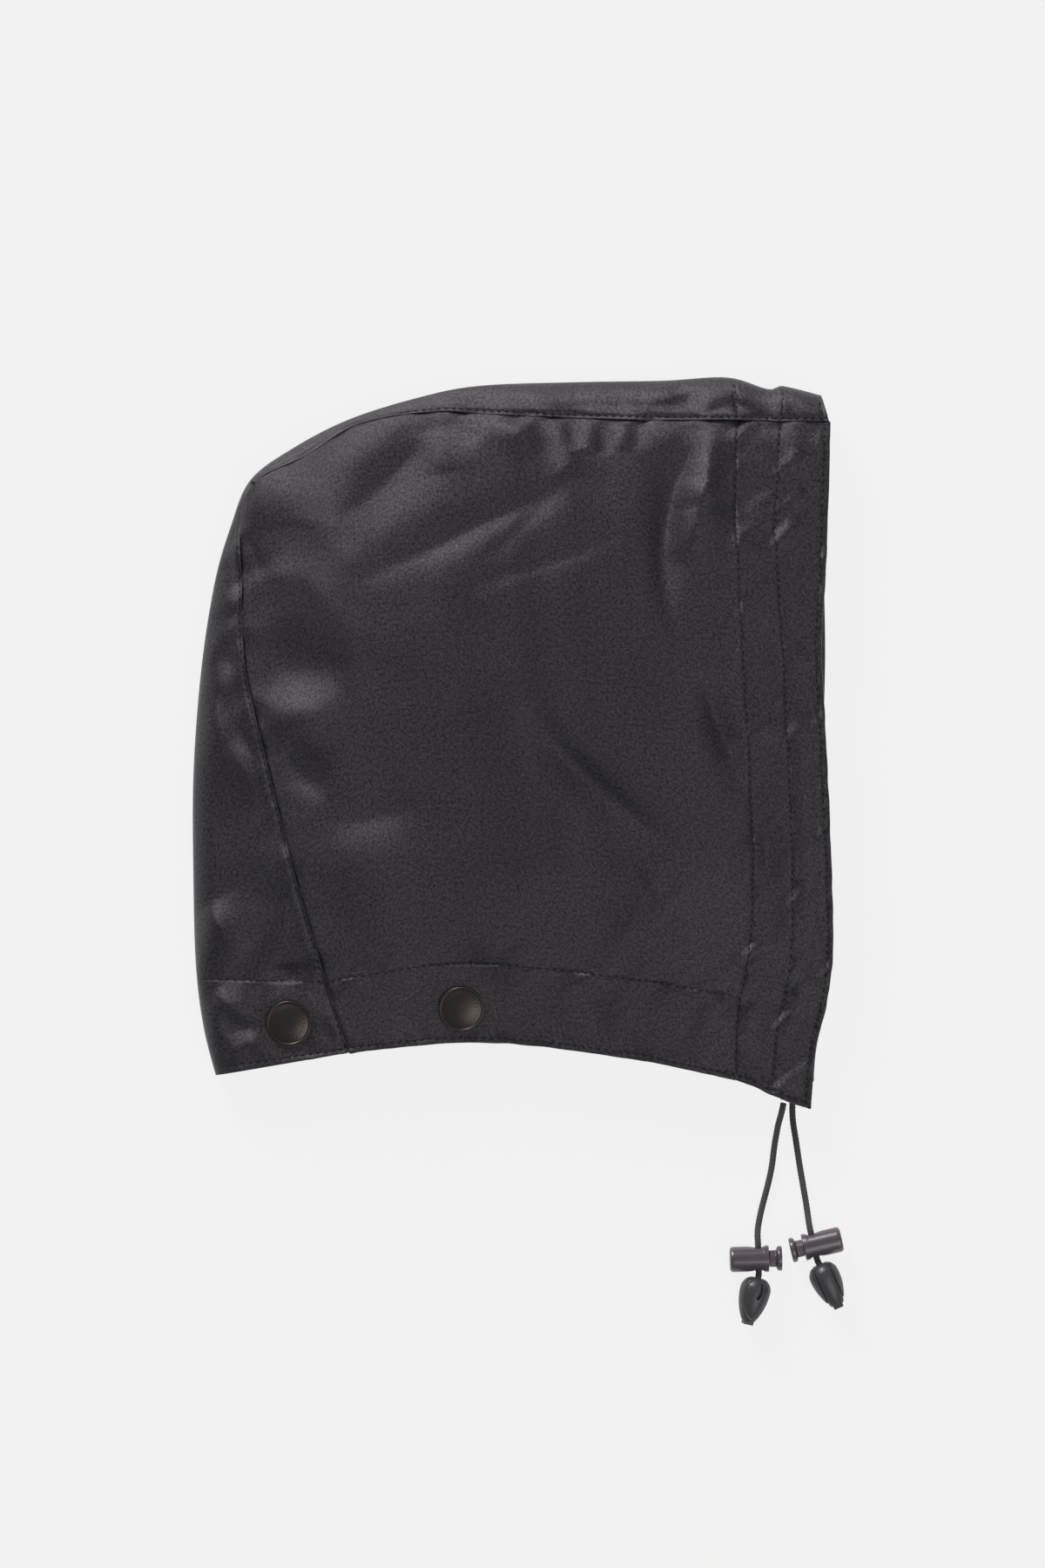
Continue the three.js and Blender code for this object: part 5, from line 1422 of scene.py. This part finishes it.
def weave_group():
    """Plain weave: half the product of two sines, one for each family of yarns, plus a half."""
    group, start, end = new_group("Plain weave", [("Vector", "Vector", None), ("Pitch", "Float", 0.0004)],
                                  [("Height", "Float")])
    turns = value_node(group, "DIVIDE", 2 * math.pi, start.outputs["Pitch"])
    scaled = node(group, "VectorMath", {"operation": "SCALE"}, _0=start.outputs["Vector"], Scale=turns)
    parts = node(group, "SeparateXYZ", None, _0=scaled.outputs[0])
    warp = value_node(group, "SINE", parts.outputs[0])
    weft = value_node(group, "SINE", parts.outputs[1])
    product = value_node(group, "MULTIPLY", warp, weft)
    feed(group, end.inputs["Height"], value_node(group, "MULTIPLY_ADD", product, 0.5, 0.5))
    return group


def mottle_group():
    """Slow uneven patches around 0.5, and the specks of a finer grain from 0 to 1."""
    group, start, end = new_group(
        "Mottle", [("Vector", "Vector", None), ("Patch", "Float", 40.0), ("Grain", "Float", 900.0)],
        [("Patches", "Float"), ("Specks", "Float")])
    place = start.outputs["Vector"]
    patches = noise_at(group, place, start.outputs["Patch"], detail=3.0, roughness=0.6)
    grain = noise_at(group, place, start.outputs["Grain"], detail=1.0, roughness=0.5)
    feed(group, end.inputs["Patches"], patches)
    feed(group, end.inputs["Specks"], ranged(group, grain, 0.35, 0.75))
    return group


def group_node(tree, group, **inputs):
    """A group placed in a tree with its inputs set or linked."""
    made = tree.nodes.new("ShaderNodeGroup")
    made.node_tree = group
    for key, value in inputs.items():
        feed(tree, made.inputs[key], value)
    return made


def new_material(name, constants):
    """A material whose Principled BSDF has its constants set, with the tree and that shader."""
    material = bpy.data.materials.new(name)
    material.use_nodes = True
    tree = material.node_tree
    shader = tree.nodes["Principled BSDF"]
    for key, value in constants.items():
        shader.inputs[key].default_value = value
    return material, tree, shader


def shared_group(name, make):
    """A node group by name, made the first time it is asked for."""
    return bpy.data.node_groups.get(name) or make()


def mottle_at(tree, place, patch, grain):
    """The outputs of the mottle group at a place, by name."""
    group = shared_group("Mottle", mottle_group)
    return group_node(tree, group, Vector=place, Patch=patch, Grain=grain).outputs


def feed_all(tree, shader, values):
    """Feeds a shader's inputs by name."""
    for name, value in values.items():
        feed(tree, shader.inputs[name], value)


def mixed(tree, factor, low, high):
    """A colour between two, by a factor. Each is a socket or three numbers."""
    made = node(tree, "Mix", {"data_type": "RGBA"}, _0=factor)
    for index, value in ((6, low), (7, high)):
        feed(tree, made.inputs[index], (*value, 1) if isinstance(value, tuple) else value)
    return made.outputs[2]


def bump(tree, height, distance, strength, normal=None):
    """A normal tilted by a height."""
    made = node(tree, "Bump", None, Strength=strength, Distance=distance, Height=height)
    if normal is not None:
        tree.links.new(normal, made.inputs["Normal"])
    return made.outputs[0]


def cloth_material(finish, name, base, rubbed, roughness, sheen):
    """Waxed cotton on the UV map: a plain weave under uneven wax, paler where the cloth is rubbed, with fine
    and wide specks that are paler and glossier."""
    constants = {"Specular Tint": (1.0, 0.93, 1.0, 1), "Sheen Weight": sheen,
                 "Sheen Roughness": 0.35, "Sheen Tint": (0.8, 0.82, 1.0, 1)}
    material, tree, shader = new_material(name, constants)
    weave_depth, grain_depth, speck_gain = 0.00006, 0.00003, 3
    uv = node(tree, "UVMap", {"uv_map": "UVMap"}).outputs[0]
    weave = group_node(tree, shared_group("Plain weave", weave_group), Vector=uv, Pitch=finish.yarn)
    patches = mottle_at(tree, uv, patch=38.0, grain=2900.0)["Patches"]
    rub_and_braid_shade = node(tree, "Attribute", {"attribute_name": "rub_and_braid_shade"}).outputs["Fac"]
    worn = value_node(tree, "ADD", rub_and_braid_shade, value_node(tree, "MULTIPLY_ADD", patches, 0.7, -0.35))
    tone = mixed(tree, worn, tuple(base), tuple(rubbed))
    fine = ranged(tree, noise_at(tree, uv, 2400.0, detail=2.0, roughness=0.6), 0.52, 0.74)
    wide = ranged(tree, noise_at(tree, uv, 900.0, detail=2.0, roughness=0.6), 0.34, 0.66, high=0.55)
    speck = value_node(tree, "ADD", fine, wide)
    woven = bump(tree, weave.outputs["Height"], weave_depth, 0.8)
    feed_all(tree, shader, {
        "Base Color": mixed(tree, speck, tone, tuple(speck_gain * c for c in rubbed)),
        "Specular IOR Level": ranged(tree, speck, 0.0, 1.3, low=0.3, high=1.3),
        "Roughness": ranged(tree, worn, 0.0, 1.0, low=roughness + 0.08, high=roughness - 0.04),
        "Normal": bump(tree, speck, grain_depth, 0.9, woven),
    })
    return material


def thread_material(finish):
    """Sewing thread: fine twisted fibres."""
    material, tree, shader = new_material("sewing thread", {"Roughness": 0.6, "Specular IOR Level": 0.3})
    place = node(tree, "TexCoord").outputs["Object"]
    specks = mottle_at(tree, place, patch=400.0, grain=5000.0)["Specks"]
    dark = tuple(finish.thread)
    feed_all(tree, shader, {
        "Base Color": mixed(tree, specks, dark, tuple(2 * c for c in dark)),
        "Normal": bump(tree, specks, 0.00004, 0.7),
    })
    return material


def cord_material(finish, name, on_map):
    """Braided cord: fibres along the strands, with painted shade between them, darker by the square of the
    braid's height. A piece without those heights, such as the hidden run in the channel, takes that painted
    shade all over.
    """
    material, tree, shader = new_material(name, {"Specular IOR Level": 0.35, "Sheen Weight": 0.12,
                                                 "Sheen Roughness": 0.5})
    if on_map:
        place = node(tree, "UVMap", {"uv_map": "UVMap"}).outputs[0]
        round_it = (0.008, 1, 1)
        place = node(tree, "VectorMath", {"operation": "MULTIPLY"}, _0=place, _1=round_it).outputs[0]
    else:
        place = node(tree, "TexCoord").outputs["Object"]
    mottle = mottle_at(tree, place, patch=260.0, grain=4200.0)
    # valley is a painted shade colour for the gaps between strands, and strand the cord's tone on a strand's
    # top.
    valley, strand, bright = (tuple(gain * c for c in finish.cord) for gain in (0.25, 1.7, 2.2))
    rub_and_braid_shade = node(tree, "Attribute", {"attribute_name": "rub_and_braid_shade"}).outputs["Fac"]
    # Painted shade: darker towards the braid's valleys, by the square of its height.
    tone = mixed(tree, value_node(tree, "POWER", rub_and_braid_shade, 2.0), valley, strand)
    speck = value_node(tree, "MULTIPLY", mottle["Specks"], 0.6)
    feed_all(tree, shader, {
        "Base Color": mixed(tree, speck, tone, bright),
        "Roughness": ranged(tree, mottle["Patches"], 0.0, 1.0, low=0.68, high=0.86),
        "Normal": bump(tree, mottle["Specks"], 0.00006, 0.8),
    })
    return material


def hard_material(name, base, roughness, metallic, patch, grain, depth, constants=None):
    """Metal or plastic: slightly uneven colour and gloss with a fine grain."""
    material, tree, shader = new_material(name, {"Metallic": metallic, **(constants or {})})
    mottle = mottle_at(tree, node(tree, "TexCoord").outputs["Object"], patch, grain)
    low, high = tuple(0.86 * c for c in base), tuple(1.16 * c for c in base)
    feed_all(tree, shader, {
        "Base Color": mixed(tree, mottle["Patches"], low, high),
        "Roughness": ranged(tree, mottle["Specks"], 0.0, 1.0, low=roughness - 0.05, high=roughness + 0.07),
        "Normal": bump(tree, mottle["Specks"], depth, 0.6),
    })
    return material


def materials_of(context):
    """All the part's materials by name, made the first time they are asked for."""
    finish = context.scene.hood_finish
    if "waxed cotton" not in bpy.data.materials:
        gloss = finish.cloth_roughness
        cloth_material(finish, "waxed cotton", finish.cloth, finish.cloth_rubbed, gloss, sheen=0.10)
        cloth_material(finish, "facing cotton", finish.facing, finish.facing, gloss + 0.15, sheen=0.05)
        thread_material(finish)
        hard_material("gunmetal", finish.stud, roughness=0.36, metallic=0.75, patch=300.0, grain=3000.0,
                      depth=0.00001)
        cord_material(finish, "braided cord", on_map=True)
        cord_material(finish, "hidden cord", on_map=False)
        hard_material("satin plastic", finish.lock, roughness=0.3, metallic=0.0, patch=220.0, grain=4200.0,
                      depth=0.000008, constants={"Specular IOR Level": 1.0})
        hard_material("polished plastic", finish.egg, roughness=0.4, metallic=0.0, patch=220.0,
                      grain=2200.0, depth=0.000008)
    return bpy.data.materials


def dress(piece, material, body=BODY, stands_for=()):
    """Gives a piece its material and the body it rides on, and hides the nodes it stands for."""
    piece.data.materials.clear()
    piece.data.materials.append(material)
    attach(piece, body)
    if stands_for:
        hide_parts(*stands_for)
    return piece


# Operators, one for each piece or group of like pieces and one for the stage.


class HOOD_OT_stage(bpy.types.Operator):
    """Make the floor, the lights and the camera straight above the hood"""

    bl_idname = "hood.stage"
    bl_label = "Stage"

    def execute(self, context):
        scene, finish = context.scene, context.scene.hood_finish
        camera = bpy.data.objects.new("camera", bpy.data.cameras.new("camera"))
        scene.collection.objects.link(camera)
        scene.camera = camera
        height, subject, frame_height, sensor = 2.3, 0.01, 0.6, 36
        camera.location = (0.0037, -0.0155, height)
        camera.data.sensor_width = sensor
        camera.data.lens = sensor * (height - subject) / frame_height
        camera.data.clip_start, camera.data.clip_end = 0.1, 20
        reach, glow, sky_strength = 6.0, 0.845, 0.2
        ground = np.array([(-reach, -reach, 0), (reach, -reach, 0), (reach, reach, 0), (-reach, reach, 0)])
        floor = make_object("floor", ground, [(0, 1, 2, 3)])
        material, _, _ = new_material("pale floor", {
            "Base Color": (*finish.floor, 1), "Roughness": 0.9, "Specular IOR Level": 0.2,
            "Emission Color": (1, 1, 0.995, 1), "Emission Strength": glow,
        })
        floor.data.materials.append(material)
        for name, place, size, power in LIGHTS:
            data = bpy.data.lights.new(name, "AREA")
            data.size, data.energy = size, power
            light = bpy.data.objects.new(name, data)
            scene.collection.objects.link(light)
            light.location = place
            light.rotation_euler = (-Vector(place)).to_track_quat("-Z", "Y").to_euler()
        world = bpy.data.worlds.new("studio")
        world.use_nodes = True
        sky = world.node_tree.nodes["Background"]
        sky.inputs["Color"].default_value = (0.95, 0.97, 1.0, 1)
        sky.inputs["Strength"].default_value = sky_strength
        scene.world = world
        scene.view_settings.view_transform = "Standard"
        return {"FINISHED"}


class HOOD_OT_drawcords(bpy.types.Operator):
    """Make the two free ends of the braided drawcord and finish its run in the channel"""

    bl_idname = "hood.drawcords"
    bl_label = "Drawcords"

    def execute(self, context):
        materials = materials_of(context)
        for side in CORD_ROUTES:
            piece, centres, length = add_drawcord(context, side)
            dress(piece, materials["braided cord"], BODY, [f"{side}_drawcord"])
            piece["cord_length"] = length
            piece["cord_path"] = centres[::4].ravel().tolist() + centres[-1].tolist()
        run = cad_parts["drawcord_run"]
        # The run has no braid heights, so it takes the braid's painted valley shade all over.
        run.data.materials.clear()
        run.data.materials.append(materials["hidden cord"])
        return {"FINISHED"}


class HOOD_OT_side_panels(bpy.types.Operator):
    """Make the two side panels of waxed cotton"""

    bl_idname = "hood.side_panels"
    bl_label = "Side panels"

    def execute(self, context):
        plan, materials = plan_of(context), materials_of(context)
        right = add_panel(plan, "near", "right_side_cloth")
        left = add_panel(plan, "far", "left_side_cloth")
        dress(right, materials["waxed cotton"], BODY, ["right_side_panel"])
        dress(left, materials["waxed cotton"], BODY, ["left_side_panel"])
        return {"FINISHED"}


class HOOD_OT_centre_panel(bpy.types.Operator):
    """Make the centre panel, folded round the crown and the back"""

    bl_idname = "hood.centre_panel"
    bl_label = "Centre panel"

    def execute(self, context):
        piece = add_centre(plan_of(context))
        dress(piece, materials_of(context)["waxed cotton"], BODY, ["centre_panel"])
        return {"FINISHED"}


class HOOD_OT_facings(bpy.types.Operator):
    """Make the facings inside the face edge and the neck edge"""

    bl_idname = "hood.facings"
    bl_label = "Facings"

    def execute(self, context):
        plan, material = plan_of(context), materials_of(context)["facing cotton"]
        front = add_front_facing(plan)
        neck = add_neck_facing(plan)
        dress(front, material, BODY, ["front_facing"])
        dress(neck, material, BODY, ["neck_facing"])
        return {"FINISHED"}


class HOOD_OT_stitching(bpy.types.Operator):
    """Sew the stitch lines of the three panels"""

    bl_idname = "hood.stitching"
    bl_label = "Stitching"

    def execute(self, context):
        plan, thread = plan_of(context), materials_of(context)["sewing thread"]
        rows = {
            "right_stitching": panel_stitches(plan, "near"),
            "left_stitching": panel_stitches(plan, "far"),
            "centre_stitching": centre_stitches(plan),
        }
        for name, frames in rows.items():
            dress(add_stitches(name, frames, plan.sewing), thread)
        return {"FINISHED"}


class HOOD_OT_studs(bpy.types.Operator):
    """Make the caps and sockets of the four press studs"""

    bl_idname = "hood.studs"
    bl_label = "Press studs"

    def execute(self, context):
        metal = materials_of(context)["gunmetal"]
        for name, (origin, normal) in stud_places(plan_of(context)).items():
            cap = add_cap(context, f"{name}_cap_pressed", origin, normal)
            socket = add_socket(context, f"{name}_socket_pressed", origin, normal)
            dress(cap, metal, BODY, [f"{name}_stud_cap"])
            dress(socket, metal, BODY, [f"{name}_stud_socket"])
        return {"FINISHED"}


class HOOD_OT_cord_locks(bpy.types.Operator):
    """Make the two sprung cord locks"""

    bl_idname = "hood.cord_locks"
    bl_label = "Cord locks"

    def execute(self, context):
        plastic = materials_of(context)["satin plastic"]
        for side, body in PLUNGER_BODIES.items():
            barrel, plunger = add_lock(context, side)
            dress(barrel, plastic, BODY, [f"{side}_lock_barrel"])
            dress(plunger, plastic, body, [f"{side}_lock_plunger"])
        return {"FINISHED"}


class HOOD_OT_cord_ends(bpy.types.Operator):
    bl_idname = "hood.cord_ends"
    bl_label = "Cord ends"

    def execute(self, context):
        plastic, trims = materials_of(context)["polished plastic"], context.scene.hood_trims
        for side, route in CORD_ROUTES.items():
            pieces = add_end(context, side)
            for key, piece in pieces.items():
                dress(piece, plastic, BODY, [f"{side}_{END_PIECES[key]}"])
        return {"FINISHED"}


class HOOD_PT_sidebar(bpy.types.Panel):
    """The hood's operators and settings in the sidebar"""

    bl_idname = "HOOD_PT_sidebar"
    bl_label = "Detachable hood"
    bl_space_type = "VIEW_3D"
    bl_region_type = "UI"
    bl_category = "Hood"

    def draw(self, context):
        for operator in OPERATORS:
            self.layout.operator(operator.bl_idname)
        for group in SETTINGS:
            box = self.layout.box()
            settings = getattr(context.scene, group)
            for name in settings.__annotations__:
                box.prop(settings, name)


OPERATORS = (HOOD_OT_stage, HOOD_OT_drawcords, HOOD_OT_side_panels, HOOD_OT_centre_panel, HOOD_OT_facings,
             HOOD_OT_stitching, HOOD_OT_studs, HOOD_OT_cord_locks, HOOD_OT_cord_ends)
SETTINGS = {"hood_shape": HoodShape, "hood_sewing": HoodSewing, "hood_trims": HoodTrims,
            "hood_finish": HoodFinish}
CLASSES = (*SETTINGS.values(), *OPERATORS, HOOD_PT_sidebar)


def register():
    """Adds the classes, and the settings to the scene."""
    for item in CLASSES:
        bpy.utils.register_class(item)
    for name, group in SETTINGS.items():
        setattr(bpy.types.Scene, name, PointerProperty(type=group))


def unregister():
    """Takes the settings and the classes away again."""
    for name in SETTINGS:
        delattr(bpy.types.Scene, name)
    for item in reversed(CLASSES):
        bpy.utils.unregister_class(item)


def main():
    register()
    for operator in OPERATORS:
        family, name = operator.bl_idname.split(".")
        getattr(getattr(bpy.ops, family), name)()


if __name__ == "__main__":
    main()
